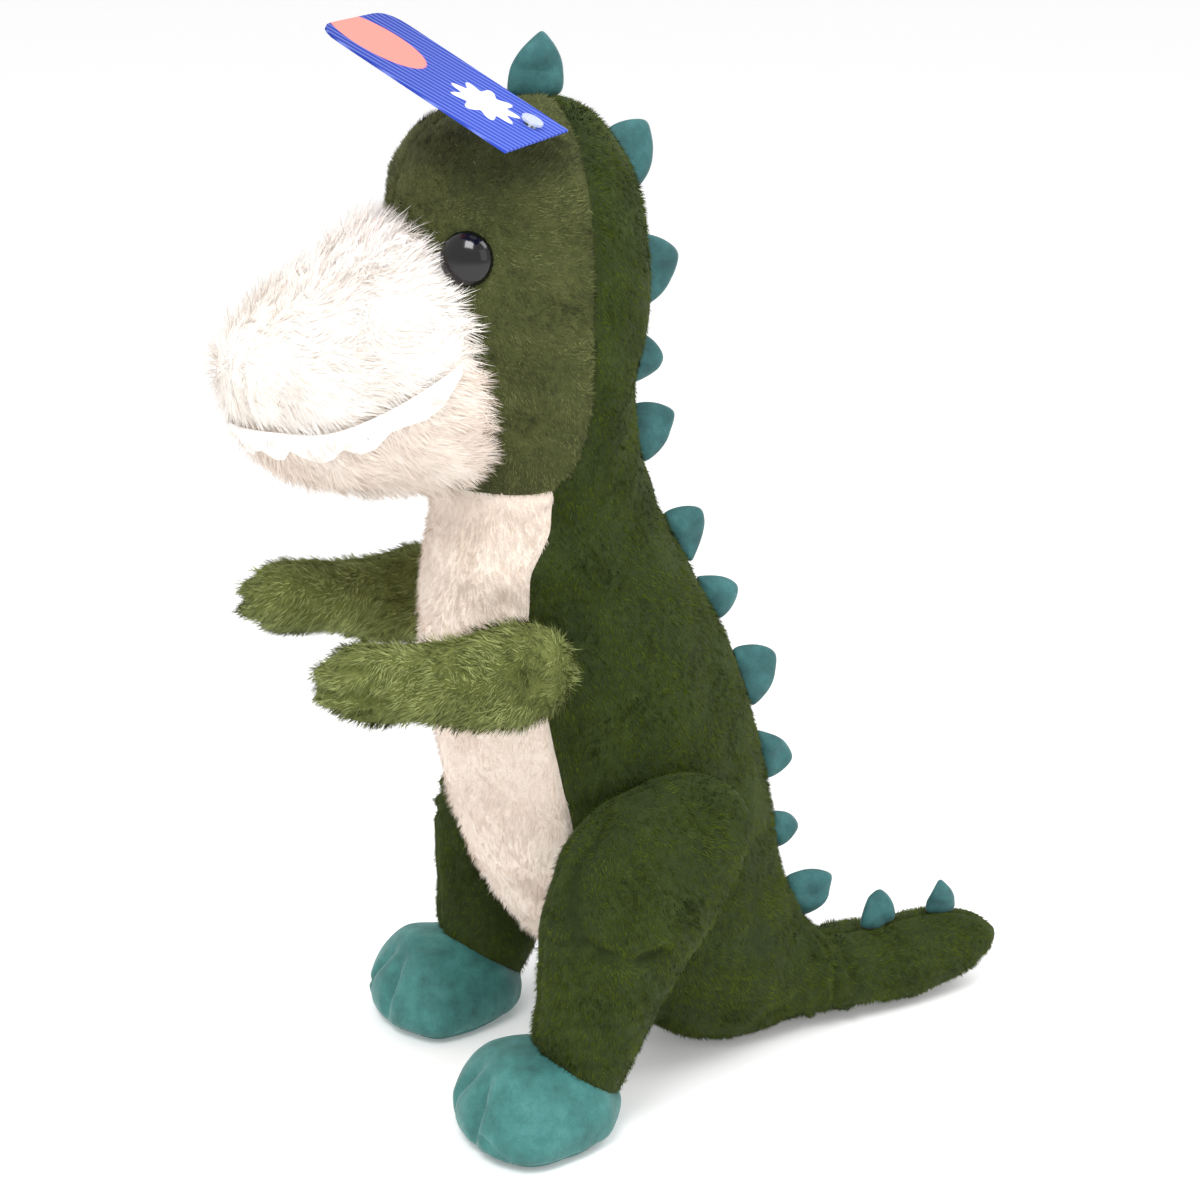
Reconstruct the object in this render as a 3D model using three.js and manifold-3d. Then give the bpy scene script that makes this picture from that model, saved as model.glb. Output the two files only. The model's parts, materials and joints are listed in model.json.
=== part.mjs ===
// A stuffed dinosaur that sits on its soles, rump and tail.
// Millimetres, +Z up, the face looks along -Y and its left side is +X.
// Each sewn panel is a thin body of its own, wrapped round a stuffing body.

import * as THREE from 'three';
import { mergeVertices } from 'three/addons/utils/BufferGeometryUtils.js';
import Module from 'manifold-3d';

const wasm = await Module();
wasm.setup();

// ---------------------------------------------------------------- driving dimensions

const CLOTH = 1.4;            // plush with its backing, pressed flat
const FELT = 1.0;             // felt of the teeth
const GAP = 0.35;             // between pieces that touch
const LOFT = 2.6;             // from the cloth's back to the stuffing's firm face
const SEAM = 0.0016;          // half a seam's gap, as a part of a turn
const DATUM_TO_MIDDLE = 33.3; // from the rump datum to the middle of the length

const NECK = { z: 208, opening: 2.9 };           // the neck bends at this height
const HEAD_SEAM_Y = -70;                         // ear-to-ear seam of the head
const SHOULDER = { x: 49.5, y: -94.5, z: 165 };  // thread joint of each arm
const TAIL_START = 42;                           // where the rump's cloth gives way to the tail
const ANKLE = { y: -79, z: 20, slant: 0.64 };    // a point on the ankle seam, and its fall

const EYE = { radius: 8.8, rise: 5.8, shank: 2.2, length: 9, turn: 0.128, z: 297 };
const WASHER = { radius: 8, thickness: 1.6, depth: 4.2 };
const THREAD = { radius: 1.1 };
const TAG = { width: 44, length: 71, thickness: 0.7, corner: 9, hole: 2.4 };
const FIN = { thick: 5.2, puff: 1.6, narrow: 0.04, sunk: 0.6 };

// ---------------------------------------------------------------- forms

// A stuffed form is a stack of closed rings. A station holds the height z, the ring's
// centre x and y, and its reach to the front (-y), back (+y), right (-x) and left (+x).
// The stations' values run through one smooth curve.
class StuffedForm {
  constructor(stations) {
    this.stations = stations;
    this.last = stations.length - 1;
  }

  station(t) {
    const place = THREE.MathUtils.clamp(t, 0, 1) * this.last;
    const i = Math.min(Math.floor(place), this.last - 1);
    const f = place - i;
    const s = (k) => this.stations[THREE.MathUtils.clamp(k, 0, this.last)];
    return s(i).map((b, c) => {
      const [a, d, e] = [s(i - 1)[c], s(i + 1)[c], s(i + 2)[c]];
      const spline = 0.5 * (2 * b + (d - a) * f + (2 * a - 5 * b + 4 * d - e) * f * f
        + (3 * b - a - 3 * d + e) * f ** 3);
      return THREE.MathUtils.clamp(spline, Math.min(b, d) - 0.6, Math.max(b, d) + 0.6);
    });
  }

  // u runs round the ring: 0 front, 0.25 left, 0.5 back, 0.75 right.
  onSurface(u, t) {
    const [z, x, y, front, back, right, left] = this.station(t);
    const angle = u * 2 * Math.PI;
    const [sideways, forwards] = [Math.sin(angle), Math.cos(angle)];
    return new THREE.Vector3(
      x + sideways * (sideways > 0 ? left : right),
      y - forwards * (forwards > 0 ? front : back),
      z,
    );
  }

  normal(u, t) {
    const step = 0.004;
    const t0 = THREE.MathUtils.clamp(t - step, 0, 1);
    const t1 = THREE.MathUtils.clamp(t + step, 0, 1);
    const along = this.onSurface(u, t1).sub(this.onSurface(u, t0));
    const round = this.onSurface(u + step, t).sub(this.onSurface(u - step, t));
    return round.cross(along).normalize();
  }

  point(u, t, inset = 0) {
    return this.onSurface(u, t).addScaledVector(this.normal(u, t), -inset);
  }

  // The place on the stack whose ring is at height z.
  at(z) {
    let [low, high] = [0, 1];
    for (let i = 0; i < 30; i += 1) {
      const middle = (low + high) / 2;
      if (this.station(middle)[0] < z) low = middle;
      else high = middle;
    }
    return (low + high) / 2;
  }
}

function bodyOf(points, faces) {
  const geometry = new THREE.BufferGeometry();
  const numbers = points.flatMap((p) => p.toArray());
  geometry.setAttribute('position', new THREE.Float32BufferAttribute(numbers, 3));
  geometry.setIndex(faces.flat());
  return volumeOf(geometry) < 0 ? turnedInsideOut(geometry) : geometry;
}

function volumeOf(geometry) {
  const position = geometry.getAttribute('position');
  const index = geometry.getIndex();
  const corner = (i) => new THREE.Vector3().fromBufferAttribute(position, index.getX(i));
  let volume = 0;
  for (let i = 0; i < index.count; i += 3) {
    volume += corner(i).dot(corner(i + 1).cross(corner(i + 2))) / 6;
  }
  return volume;
}

function turnedInsideOut(geometry) {
  const index = geometry.getIndex();
  for (let i = 0; i < index.count; i += 3) {
    const second = index.getX(i + 1);
    index.setX(i + 1, index.getX(i + 2));
    index.setX(i + 2, second);
  }
  return geometry;
}

function mirrored(geometry) {
  return turnedInsideOut(geometry.clone().scale(-1, 1, 1));
}

const mix = THREE.MathUtils.lerp;
const edge = (value, place) => (typeof value === 'function' ? value(place) : value);

function steps(from, to, count) {
  return Array.from({ length: count + 1 }, (_, i) => mix(from, to, i / count));
}

// A panel is a patch of a form with the cloth's thickness. Its side edges u may change
// with the height, and its lower and upper edges t may change with the way across. Its
// rows are even, unless they are given so that a neighbour can share them.
function panel(form, { u, t = [0, 1], across, rows, lift = 0, cloth = CLOTH }) {
  const places = Array.isArray(rows) ? rows : steps(0, 1, rows);
  const along = places.length - 1;
  const points = [];
  for (const inset of [-lift, cloth - lift]) {
    for (let j = 0; j <= along; j += 1) {
      for (let i = 0; i <= across; i += 1) {
        const [s, w] = [i / across, places[j]];
        const place = mix(edge(t[0], s), edge(t[1], s), w);
        points.push(form.point(mix(edge(u[0], place), edge(u[1], place), s), place, inset));
      }
    }
  }
  const row = across + 1;
  const sheet = row * (along + 1);
  const faces = [];
  const quad = (a, b, c, d) => faces.push([a, b, c], [a, c, d]);
  for (let j = 0; j < along; j += 1) {
    for (let i = 0; i < across; i += 1) {
      const a = j * row + i;
      quad(a, a + 1, a + row + 1, a + row);
      quad(sheet + a + row, sheet + a + row + 1, sheet + a + 1, sheet + a);
    }
    const [left, right] = [j * row, j * row + across];
    quad(left + row, sheet + left + row, sheet + left, left);
    quad(right, sheet + right, sheet + right + row, right + row);
  }
  for (let i = 0; i < across; i += 1) {
    const top = along * row + i;
    quad(i, sheet + i, sheet + i + 1, i + 1);
    quad(top + 1, sheet + top + 1, sheet + top, top);
  }
  return bodyOf(points, faces);
}

// The whole form as one closed body between two heights.
function filling(form, { t = [0, 1], around, along, inset = CLOTH + LOFT }) {
  const points = [];
  const faces = [];
  for (let j = 0; j <= along; j += 1) {
    const place = mix(t[0], t[1], j / along);
    for (let i = 0; i < around; i += 1) points.push(form.point(i / around, place, inset));
  }
  for (let j = 0; j < along; j += 1) {
    for (let i = 0; i < around; i += 1) {
      const next = (i + 1) % around;
      const [a, b] = [j * around, (j + 1) * around];
      faces.push([a + i, a + next, b + next], [a + i, b + next, b + i]);
    }
  }
  for (const j of [0, along]) {
    const ring = points.slice(j * around, (j + 1) * around);
    const centre = ring.reduce((sum, p) => sum.add(p), new THREE.Vector3()).divideScalar(around);
    const hub = points.push(centre) - 1;
    for (let i = 0; i < around; i += 1) {
      const [a, b] = [j * around + i, j * around + ((i + 1) % around)];
      faces.push(j === 0 ? [hub, b, a] : [hub, a, b]);
    }
  }
  return bodyOf(points, faces);
}

// ---------------------------------------------------------------- cutting and joining

function solid(geometry) {
  const bare = geometry.clone();
  for (const name of Object.keys(bare.attributes)) {
    if (name !== 'position') bare.deleteAttribute(name);
  }
  const merged = mergeVertices(bare, 1e-4);
  return new wasm.Manifold(new wasm.Mesh({
    numProp: 3,
    vertProperties: new Float32Array(merged.getAttribute('position').array),
    triVerts: new Uint32Array(merged.getIndex().array),
  }));
}

function geometryOf(shape) {
  const { vertProperties, triVerts } = shape.getMesh();
  const geometry = new THREE.BufferGeometry();
  geometry.setAttribute('position', new THREE.BufferAttribute(new Float32Array(vertProperties), 3));
  geometry.setIndex(new THREE.BufferAttribute(new Uint32Array(triVerts), 1));
  return geometry;
}

function without(geometry, ...tools) {
  return geometryOf(tools.reduce((left, tool) => left.subtract(solid(tool)), solid(geometry)));
}

function placed(geometry, at, towards = new THREE.Vector3(0, 0, 1)) {
  const turn = new THREE.Quaternion().setFromUnitVectors(new THREE.Vector3(0, 0, 1), towards);
  return geometry.applyQuaternion(turn).translate(at.x, at.y, at.z);
}

function turned(profile, segments) {
  const points = profile.map(([r, z]) => new THREE.Vector2(r, z));
  return mergeVertices(stripped(new THREE.LatheGeometry(points, segments)), 1e-4).rotateX(Math.PI / 2);
}

function stripped(geometry) {
  geometry.deleteAttribute('normal');
  geometry.deleteAttribute('uv');
  return geometry;
}

// ---------------------------------------------------------------- the forms of this toy

// Torso: [z, front y, back y, half width]. Its rings are centred between front and back.
const torso = new StuffedForm([
  [0, 2, 3.6, 0.8], [0.5, -10, 14, 8], [3, -22, 26, 16], [10, -36, 34, 24], [22, -52, 36, 31.5],
  [38, -66.5, 30.5, 37], [54, -79.5, 23, 39.4], [71, -92, 18, 40], [99, -103, 13.4, 40],
  [126, -109.2, 7.2, 40.4], [156, -113.2, -4.4, 39.8], [183, -114, -19, 37.4],
  [NECK.z - NECK.opening, -111.5, -31, 34],
].map(([z, front, back, half]) => {
  const y = (front + back) / 2;
  return [z, 0, y, y - front, back - y, half, half];
}));

// Head: [z, reach to the face, reach to the back, half width] from the ear-to-ear seam.
const head = new StuffedForm([
  [NECK.z + NECK.opening, 41, 37.6, 34], [217, 41.5, 35, 35.5], [223, 43, 32, 38],
  [232, 46, 29.6, 41], [246, 50, 27.6, 44.5], [262, 53, 29.6, 47], [280, 55, 31.6, 48],
  [297, 55, 31.2, 47.5], [312, 53.5, 28.4, 44.5], [325, 49, 24, 38.5], [335, 41, 18, 29.5],
  [341, 27, 11.5, 17.5], [343, 9, 5, 6.5], [343.3, 0.8, 0.8, 0.8],
].map(([z, face, back, half]) => [z, 0, HEAD_SEAM_Y, face, back, half, half]));

// Muzzle: [z, reach forwards, half width] from a line inside the head.
const MUZZLE_Y = -105;
const muzzle = new StuffedForm([
  [218.6, 0.8, 0.8], [219, 17, 9], [221, 41, 22], [225, 55, 30], [231, 63, 35], [239, 69, 37.6],
  [248, 73.5, 38.8], [258, 76, 39.4], [267, 75, 39], [276, 68.5, 38], [285, 57, 36], [294, 44, 32.5],
  [303, 30, 27], [310, 17, 18], [313.5, 7, 8], [314, 0.8, 0.8],
].map(([z, reach, half]) => [z, 0, MUZZLE_Y, reach, 12, half, half]));

// Arm, along its own length from the shoulder:
// [length, height of centre, half height, half width].
const arm = new StuffedForm([
  [-15.4, 0, 0.8, 0.8], [-15, 0, 5, 4.5], [-12, 0, 10.5, 9], [-6, 0, 15.4, 12.6], [5, -0.5, 17.8, 14.4],
  [18, -1.5, 16.4, 14], [32, 0, 12.6, 12], [45, 2.4, 12.6, 12.4], [56, 3.2, 13, 13.4],
  [64, 3.2, 11, 12], [69, 3, 6.5, 7.5], [71, 3, 2.8, 3], [71.4, 3, 0.8, 0.8],
].map(([length, centre, tall, wide]) => [length, 0, centre, tall, tall, wide, wide]));

// Leg: [z, front y, back y, inner x, outer x].
const LEG_MIDDLE = 49.4;
const leg = new StuffedForm([
  [5, -78, -76, 50, 52], [6, -85, -70, 44, 59], [11, -90, -64, 37, 65],
  [19, -93, -60, 33.5, 68], [30, -94.5, -54.5, 33, 69.5], [44, -95, -48, 35, 70],
  [58, -95, -39, 40, 70.6], [70, -95, -30, 41.2, 71.4], [84, -93.5, -22, 41.2, 71.8],
  [98, -89.5, -16.5, 41.2, 70.8], [110, -80.5, -17, 41.2, 67], [118, -67, -23, 41.8, 60],
  [121.5, -53, -33, 45, 54], [122, -44, -42, 48.4, 50],
].map(([z, front, back, inner, outer]) => {
  const x = Math.max((inner + outer) / 2, LEG_MIDDLE);
  const y = (front + back) / 2;
  return [z, x, y, y - front, back - y, x - inner, outer - x];
}));

// Foot: [z, front y, back y, half width], widest in front of the leg, with a flat sole.
const FOOT = { x: 50, widest: -103 };
const foot = new StuffedForm([
  [0, -117, -66, 27], [2.5, -119.4, -64.5, 29], [7, -121.6, -63.5, 30.6], [13, -121, -63, 30],
  [19, -117, -63, 27], [24.5, -112.5, -64, 23], [29, -108, -67, 17.5], [31.6, -105, -73, 10.5],
  [32, -103.4, -92, 1],
].map(([z, front, back, half]) => {
  const [ahead, behind] = [FOOT.widest - front, back - FOOT.widest];
  return [z, FOOT.x, FOOT.widest, ahead, behind, half, half];
}));

// Tail, along its own length from the rump datum:
// [length, height of centre, half height, half width].
const tail = new StuffedForm([
  [TAIL_START, 15.4, 15.2, 21.5], [54, 15.3, 15.2, 20.5], [68, 15.6, 15.4, 19.5],
  [82, 16.3, 15, 17.5], [94, 17.5, 13.2, 14.5], [104, 18.5, 10, 10.5], [110, 18.8, 6.4, 6.5],
  [113.4, 19, 2.6, 2.6], [114, 19, 0.8, 0.8],
].map(([length, centre, tall, wide]) => [length, 0, centre, tall, tall, wide, wide]));

// ---------------------------------------------------------------- materials

function cloth(colour, roughness = 0.95) {
  return new THREE.MeshStandardMaterial({ color: colour, roughness, metalness: 0 });
}

const darkPlush = () => cloth(0x2f4420);
const facePlush = () => cloth(0x3a4d22);
const limbPlush = () => cloth(0x46592a);
const creamPlush = () => cloth(0xeadfcf);
const whitePlush = () => cloth(0xf6efe6);
const tealVelour = () => cloth(0x2e7a72, 0.85);
const fibre = () => cloth(0xf2f1ec, 1);
const thread = () => cloth(0x2c3a1e, 0.7);
const felt = () => cloth(0xfbf9f4, 0.9);

const model = new THREE.Group();
model.position.y = DATUM_TO_MIDDLE;

function sewn(group, name, geometry, material) {
  const mesh = new THREE.Mesh(geometry, material);
  mesh.name = name;
  group.add(mesh);
}

function sewnPair(group, name, geometry, material) {
  sewn(group, `${name}_left`, geometry, material());
  sewn(group, `${name}_right`, mirrored(geometry), material());
}

// ---------------------------------------------------------------- torso

const CROTCH = torso.at(44);

// Half the belly panel's width, as a part of a turn, from the crotch to the chin.
function bellyEdge(t) {
  const rise = THREE.MathUtils.clamp((t - CROTCH) / (1 - CROTCH), 0, 1);
  return 0.014 + 0.154 * Math.min(1, rise / 0.36) ** 0.6 + 0.045 * Math.max(0, rise / 0.2 - 4) ** 2;
}

function buildTorso(group) {
  const rows = steps(CROTCH, 1, 10);
  sewn(group, 'belly_panel', panel(torso, {
    rows, across: 6, u: [(t) => SEAM - bellyEdge(t), (t) => bellyEdge(t) - SEAM],
  }), creamPlush());
  const front = (t) => (t < CROTCH ? SEAM : bellyEdge(t) + SEAM);
  sewnPair(group, 'side_panel', panel(torso, {
    rows: [...steps(0.012, CROTCH - 0.01, 4), ...rows], across: 8, u: [front, 0.5 - SEAM],
  }), darkPlush);
  sewn(group, 'body_stuffing', filling(torso, { t: [0.03, 0.99], around: 16, along: 10 }), fibre());
}

// ---------------------------------------------------------------- head

const MUZZLE_TOP = head.at(311);
const MUZZLE_BOTTOM = head.at(223);
const CHIN = head.at(218);

// The face panels end where the muzzle is sewn on.
function muzzleEdge(t) {
  const across = (t - MUZZLE_BOTTOM) / (MUZZLE_TOP - MUZZLE_BOTTOM);
  if (across <= 0 || across >= 1) return SEAM;
  return SEAM + 0.138 * (1 - Math.abs(2 * across - 0.9) ** 3.2 / 1.5);
}

function eyePlace(inset) {
  const t = head.at(EYE.z);
  return { at: head.point(EYE.turn, t, inset), out: head.normal(EYE.turn, t) };
}

// The eye's own axis is z, with the cloth's outer face at zero.
function eyeDome() {
  const profile = [[0, -EYE.length], [EYE.shank, -EYE.length], [EYE.shank, 0.2], [EYE.radius - 0.6, 0.2],
    [EYE.radius, 0.8]];
  for (let i = 1; i <= 3; i += 1) {
    const a = (i / 4) * (Math.PI / 2);
    profile.push([EYE.radius * Math.cos(a), 0.8 + (EYE.rise - 0.8) * Math.sin(a)]);
  }
  profile.push([0, EYE.rise]);
  return turned(profile, 14);
}

function eyeWasher() {
  const [inner, outer] = [EYE.shank + GAP, WASHER.radius];
  const [top, bottom] = [-WASHER.depth, -WASHER.depth - WASHER.thickness];
  return turned([[inner, bottom], [outer, bottom], [outer, top], [inner, top], [inner, bottom]], 12);
}

function eyePocket() {
  const [inner, outer] = [EYE.shank + GAP, WASHER.radius + GAP];
  const [top, bottom] = [GAP - WASHER.depth, -WASHER.depth - WASHER.thickness - GAP];
  return turned([[0, -EYE.length - GAP], [inner, -EYE.length - GAP], [inner, bottom], [outer, bottom],
    [outer, top], [inner, top], [inner, 3], [0, 3]], 12);
}

// Height of the mouth line round the muzzle: low at the front, rising to each cheek.
function mouthLine(u) {
  const round = Math.min(1, Math.abs(u) / 0.25);
  return 244 + 26 * Math.max(0, (round - 0.5) / 0.5) ** 1.6;
}

function snoutPieces(headCutter, eyeSocket) {
  const above = (side) => (s) => muzzle.at(mouthLine(side(s)) + GAP / 2);
  const gusset = 0.05;
  const sides = [gusset + SEAM, 0.3];
  return {
    top: without(panel(muzzle, {
      u: [SEAM - gusset, gusset - SEAM], t: [above(() => gusset), 0.985], across: 2, rows: 8,
    }), headCutter),
    side: without(panel(muzzle, {
      u: sides, t: [above((s) => mix(sides[0], sides[1], s)), 0.985], across: 5, rows: 7,
    }), headCutter, eyeSocket),
    jaw: without(panel(muzzle, {
      u: [-0.3, 0.3], t: [0.02, (s) => muzzle.at(mouthLine(mix(-0.3, 0.3, s)) - GAP / 2)],
      across: 12, rows: 5,
    }), headCutter),
  };
}

// The teeth hang below the mouth line as a felt strip with a scalloped lower edge.
function teethStrip(headCutter) {
  const reach = 0.235;
  const teeth = 10;
  const where = (s) => mix(-reach, reach, s);
  const scallop = (s) => 3 + 6.5 * Math.sqrt(Math.abs(Math.sin(teeth * Math.PI * s)));
  return without(panel(muzzle, {
    u: [-reach, reach],
    t: [(s) => muzzle.at(mouthLine(where(s)) - scallop(s)), (s) => muzzle.at(mouthLine(where(s)) - 0.2)],
    across: 36, rows: 1, lift: FELT + GAP, cloth: FELT,
  }), headCutter);
}

function buildHead(group) {
  const eye = eyePlace(0);
  const right = { at: eye.at.clone().setX(-eye.at.x), out: eye.out.clone().setX(-eye.out.x) };
  const pocket = placed(eyePocket(), eye.at, eye.out);
  const rows = steps(CHIN, 0.985, 11);
  const face = panel(head, { rows, u: [muzzleEdge, 0.25 - SEAM], across: 5 });
  sewnPair(group, 'face_panel', without(face, pocket), facePlush);
  sewnPair(group, 'head_back_panel', panel(head, {
    rows: [0, ...rows], u: [0.25 + SEAM, 0.5 - SEAM], across: 5,
  }), darkPlush);
  const strip = { t: [0, CHIN - 0.012], rows: 1 };
  const half = bellyEdge(1);
  const throat = panel(head, { ...strip, u: [SEAM - half, half - SEAM], across: 6 });
  sewn(group, 'throat_panel', throat, creamPlush());
  const neck = panel(head, { ...strip, u: [half + SEAM, 0.25 - SEAM], across: 3 });
  sewnPair(group, 'neck_panel', neck, darkPlush);

  const core = filling(head, { t: [0.01, 0.97], around: 16, along: 11 });
  sewn(group, 'head_stuffing', without(core, pocket, mirrored(pocket)), fibre());

  const headCutter = filling(head, { t: [0.04, 1], around: 28, along: 20, inset: -2 * GAP });
  const socket = [EYE.radius + GAP, EYE.rise + 2];
  const around = placed(turned([[0, -2], [socket[0], -2], socket, [0, socket[1]]], 14), eye.at, eye.out);
  const snout = snoutPieces(headCutter, around);
  sewn(group, 'snout_gusset', snout.top, whitePlush());
  sewnPair(group, 'snout_panel', snout.side, whitePlush);
  sewn(group, 'jaw_panel', snout.jaw, creamPlush());
  sewn(group, 'muzzle_stuffing', without(filling(muzzle, {
    t: [0.05, 0.95], around: 16, along: 8,
  }), headCutter), fibre());
  sewn(group, 'teeth_strip', teethStrip(headCutter), felt());

  for (const [side, place] of [['left', eye], ['right', right]]) {
    const glossy = new THREE.MeshStandardMaterial({ color: 0x0b0b0d, roughness: 0.08, metalness: 0 });
    sewn(group, `eye_${side}`, placed(eyeDome(), place.at, place.out), glossy);
    const plastic = new THREE.MeshStandardMaterial({ color: 0xe9e9e6, roughness: 0.5, metalness: 0 });
    sewn(group, `eye_washer_${side}`, placed(eyeWasher(), place.at, place.out), plastic);
  }
}

// ---------------------------------------------------------------- arms and legs

// The hole that the joint's thread runs through, along x.
function threadHole(x, y, z, length) {
  return new THREE.CylinderGeometry(THREAD.radius + GAP, THREAD.radius + GAP, length, 10)
    .rotateZ(Math.PI / 2).translate(x, y, z);
}

function armPieces() {
  const hole = threadHole(-10, 0, 0, 22);
  const half = { t: [0.012, 0.988], across: 6, rows: 9 };
  return {
    outer: panel(arm, { ...half, u: [SEAM, 0.5 - SEAM] }),
    inner: without(panel(arm, { ...half, u: [0.5 + SEAM, 1 - SEAM] }), hole),
    stuffing: without(filling(arm, { t: [0.12, 0.88], around: 12, along: 8 }), hole),
  };
}

// An arm lies along -Y: its own length turns from +Z to the front.
function buildArm(group, side) {
  const pieces = armPieces();
  const hand = side === 'left' ? (g) => g : mirrored;
  const pivot = new THREE.Group();
  pivot.position.set(side === 'left' ? SHOULDER.x : -SHOULDER.x, SHOULDER.y, SHOULDER.z);
  pivot.rotation.x = Math.PI / 2;
  sewn(pivot, `arm_outer_${side}`, hand(pieces.outer), limbPlush());
  sewn(pivot, `arm_inner_${side}`, hand(pieces.inner), limbPlush());
  sewn(pivot, `arm_stuffing_${side}`, hand(pieces.stuffing), fibre());
  group.add(pivot);
}

// Everything on one side of the slanting ankle seam, which falls from the instep to the heel.
function pastAnkle(direction) {
  const [width, length, height] = [120, 240, 160];
  return new THREE.BoxGeometry(width, length, height)
    .translate(0, 0, direction * (height / 2 - GAP / 2))
    .rotateX(-ANKLE.slant).translate(FOOT.x, ANKLE.y, ANKLE.z);
}

function legPieces() {
  const half = { t: [0.012, 0.988], across: 6, rows: 11 };
  const cut = pastAnkle(-1);
  const above = pastAnkle(1);
  return {
    outer: without(panel(leg, { ...half, u: [SEAM, 0.5 - SEAM] }), cut),
    inner: without(panel(leg, { ...half, u: [0.5 + SEAM, 1 - SEAM] }), cut),
    stuffing: without(filling(leg, { t: [0.06, 0.94], around: 14, along: 9 }), cut),
    top: without(panel(foot, {
      u: [0, 1 - SEAM], t: [foot.at(1.9), 0.97], across: 18, rows: 5,
    }), above),
    padding: without(filling(foot, {
      t: [foot.at(4), 0.9], around: 16, along: 5,
    }), above),
    sole: solePiece(),
  };
}

// The sole is a flat oval of the same cloth, with its lower face on the ground.
function solePiece() {
  const outline = new THREE.Shape(Array.from({ length: 28 }, (_, i) => {
    const p = foot.point(i / 28, 0.02, 0.2);
    return new THREE.Vector2(p.x, p.y);
  }));
  return new THREE.ExtrudeGeometry(outline, { depth: 1.5, bevelEnabled: false });
}

function buildLeg(group, side) {
  const pieces = legPieces();
  const hand = side === 'left' ? (g) => g : mirrored;
  sewn(group, `leg_outer_${side}`, hand(pieces.outer), darkPlush());
  sewn(group, `leg_inner_${side}`, hand(pieces.inner), darkPlush());
  sewn(group, `leg_stuffing_${side}`, hand(pieces.stuffing), fibre());
  sewn(group, `foot_top_${side}`, hand(pieces.top), tealVelour());
  sewn(group, `foot_stuffing_${side}`, hand(pieces.padding), fibre());
  sewn(group, `sole_${side}`, hand(mergeVertices(stripped(pieces.sole), 1e-4)), tealVelour());
}

// ---------------------------------------------------------------- tail

function buildTail(group) {
  const lying = new THREE.Group();
  lying.rotation.x = -Math.PI / 2;
  const upsideDown = (geometry) => geometry.rotateZ(Math.PI);
  sewnPair(lying, 'tail_panel', upsideDown(panel(tail, {
    u: [SEAM, 0.5 - SEAM], t: [0, 0.985], across: 6, rows: 7,
  })), darkPlush);
  const core = filling(tail, { t: [0.02, 0.9], around: 12, along: 6 });
  sewn(lying, 'tail_stuffing', upsideDown(core), fibre());
  group.add(lying);
}

// ---------------------------------------------------------------- fins

// Each fin stands on the middle of the back: base start, tip and base end as y, z.
const HEAD_FINS = [
  [[-90, 342], [-71, 363], [-55, 334]],
  [[-53, 334], [-34, 332], [-36, 303]],
  [[-34, 298], [-23, 288], [-33, 271]],
  [[-35, 264], [-28, 253], [-37, 243]],
  [[-36, 241], [-23, 234], [-32, 216]],
];
const TORSO_FINS = [
  [[-28, 203], [-13, 198], [-14, 178]],
  [[-14, 177], [1, 169], [-1, 157]],
  [[2, 151], [16, 142], [11, 121]],
  [[12, 117], [24, 102], [15, 91]],
  [[15, 88], [27, 75], [20, 63]],
  [[21, 60], [42, 53], [36, 34]],
];
const TAIL_FINS = [
  [[47, 29], [62, 44], [75, 30]],
  [[77, 30], [89, 43], [99, 29]],
];

// A fin is a puffed triangle with a little sunk foot, trimmed to the cloth below it.
function fin([start, tip, end], below) {
  const middle = [(start[0] + end[0]) / 2, (start[1] + end[1]) / 2];
  const sunk = (p) => [mix(p[0], middle[0], FIN.narrow) + (middle[0] - tip[0]) * FIN.sunk,
    mix(p[1], middle[1], FIN.narrow) + (middle[1] - tip[1]) * FIN.sunk];
  const [a, b] = [sunk(start), sunk(end)];
  const bulge = (p, q) => [(p[0] + q[0]) / 2 + (tip[0] - middle[0]) * 0.1,
    (p[1] + q[1]) / 2 + (tip[1] - middle[1]) * 0.1];
  const shape = new THREE.Shape();
  shape.moveTo(...a);
  shape.quadraticCurveTo(...bulge(a, tip), ...tip);
  shape.quadraticCurveTo(...bulge(tip, b), ...b);
  shape.closePath();
  const [flat, rounding] = [FIN.thick - 2 * FIN.puff, 1.1];
  const slab = new THREE.ExtrudeGeometry(shape, {
    depth: flat, bevelEnabled: true, bevelThickness: FIN.puff, bevelSize: rounding,
    bevelOffset: -rounding, bevelSegments: 1, curveSegments: 3,
  });
  // The outline is drawn in y and z, so the slab's own axes turn to x.
  const upright = new THREE.Matrix4().makeBasis(
    new THREE.Vector3(0, 1, 0), new THREE.Vector3(0, 0, 1), new THREE.Vector3(1, 0, 0),
  );
  slab.applyMatrix4(upright).translate(-flat / 2, 0, 0);
  return without(stripped(slab), below);
}

function buildFins(group, names, outlines, below) {
  outlines.forEach((outline, i) => {
    sewn(group, `${names}_${i + 1}`, fin(outline, below), tealVelour());
  });
}

// ---------------------------------------------------------------- thread joints

function jointThread(x, y, z, length) {
  return stripped(new THREE.CylinderGeometry(THREAD.radius, THREAD.radius, length, 10)
    .rotateZ(Math.PI / 2).translate(x, y, z));
}

function surfaceX(form, y, z) {
  const t = form.at(z);
  const [, , centre, front, back, , left] = form.station(t);
  const reach = y < centre ? front : back;
  return left * Math.sqrt(1 - ((y - centre) / reach) ** 2);
}

// A thread runs from the torso's side into each arm's stuffing.
function buildThreads(group) {
  const shoulder = surfaceX(torso, SHOULDER.y, SHOULDER.z) + 1;
  sewnPair(group, 'shoulder_thread', mergeVertices(jointThread(
    (shoulder + SHOULDER.x) / 2, SHOULDER.y, SHOULDER.z, SHOULDER.x - shoulder,
  )), thread);
}

// ---------------------------------------------------------------- hang tag

// The card rises from the crown to the front, tipped over towards the right.
const TAG_PLACE = {
  foot: new THREE.Vector3(52.6, -91.5, 334.2),
  along: new THREE.Vector3(-0.604, -0.617, 0.478).normalize(),
  across: new THREE.Vector3(-0.701, 0.713, 0.033).normalize(),
};

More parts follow.
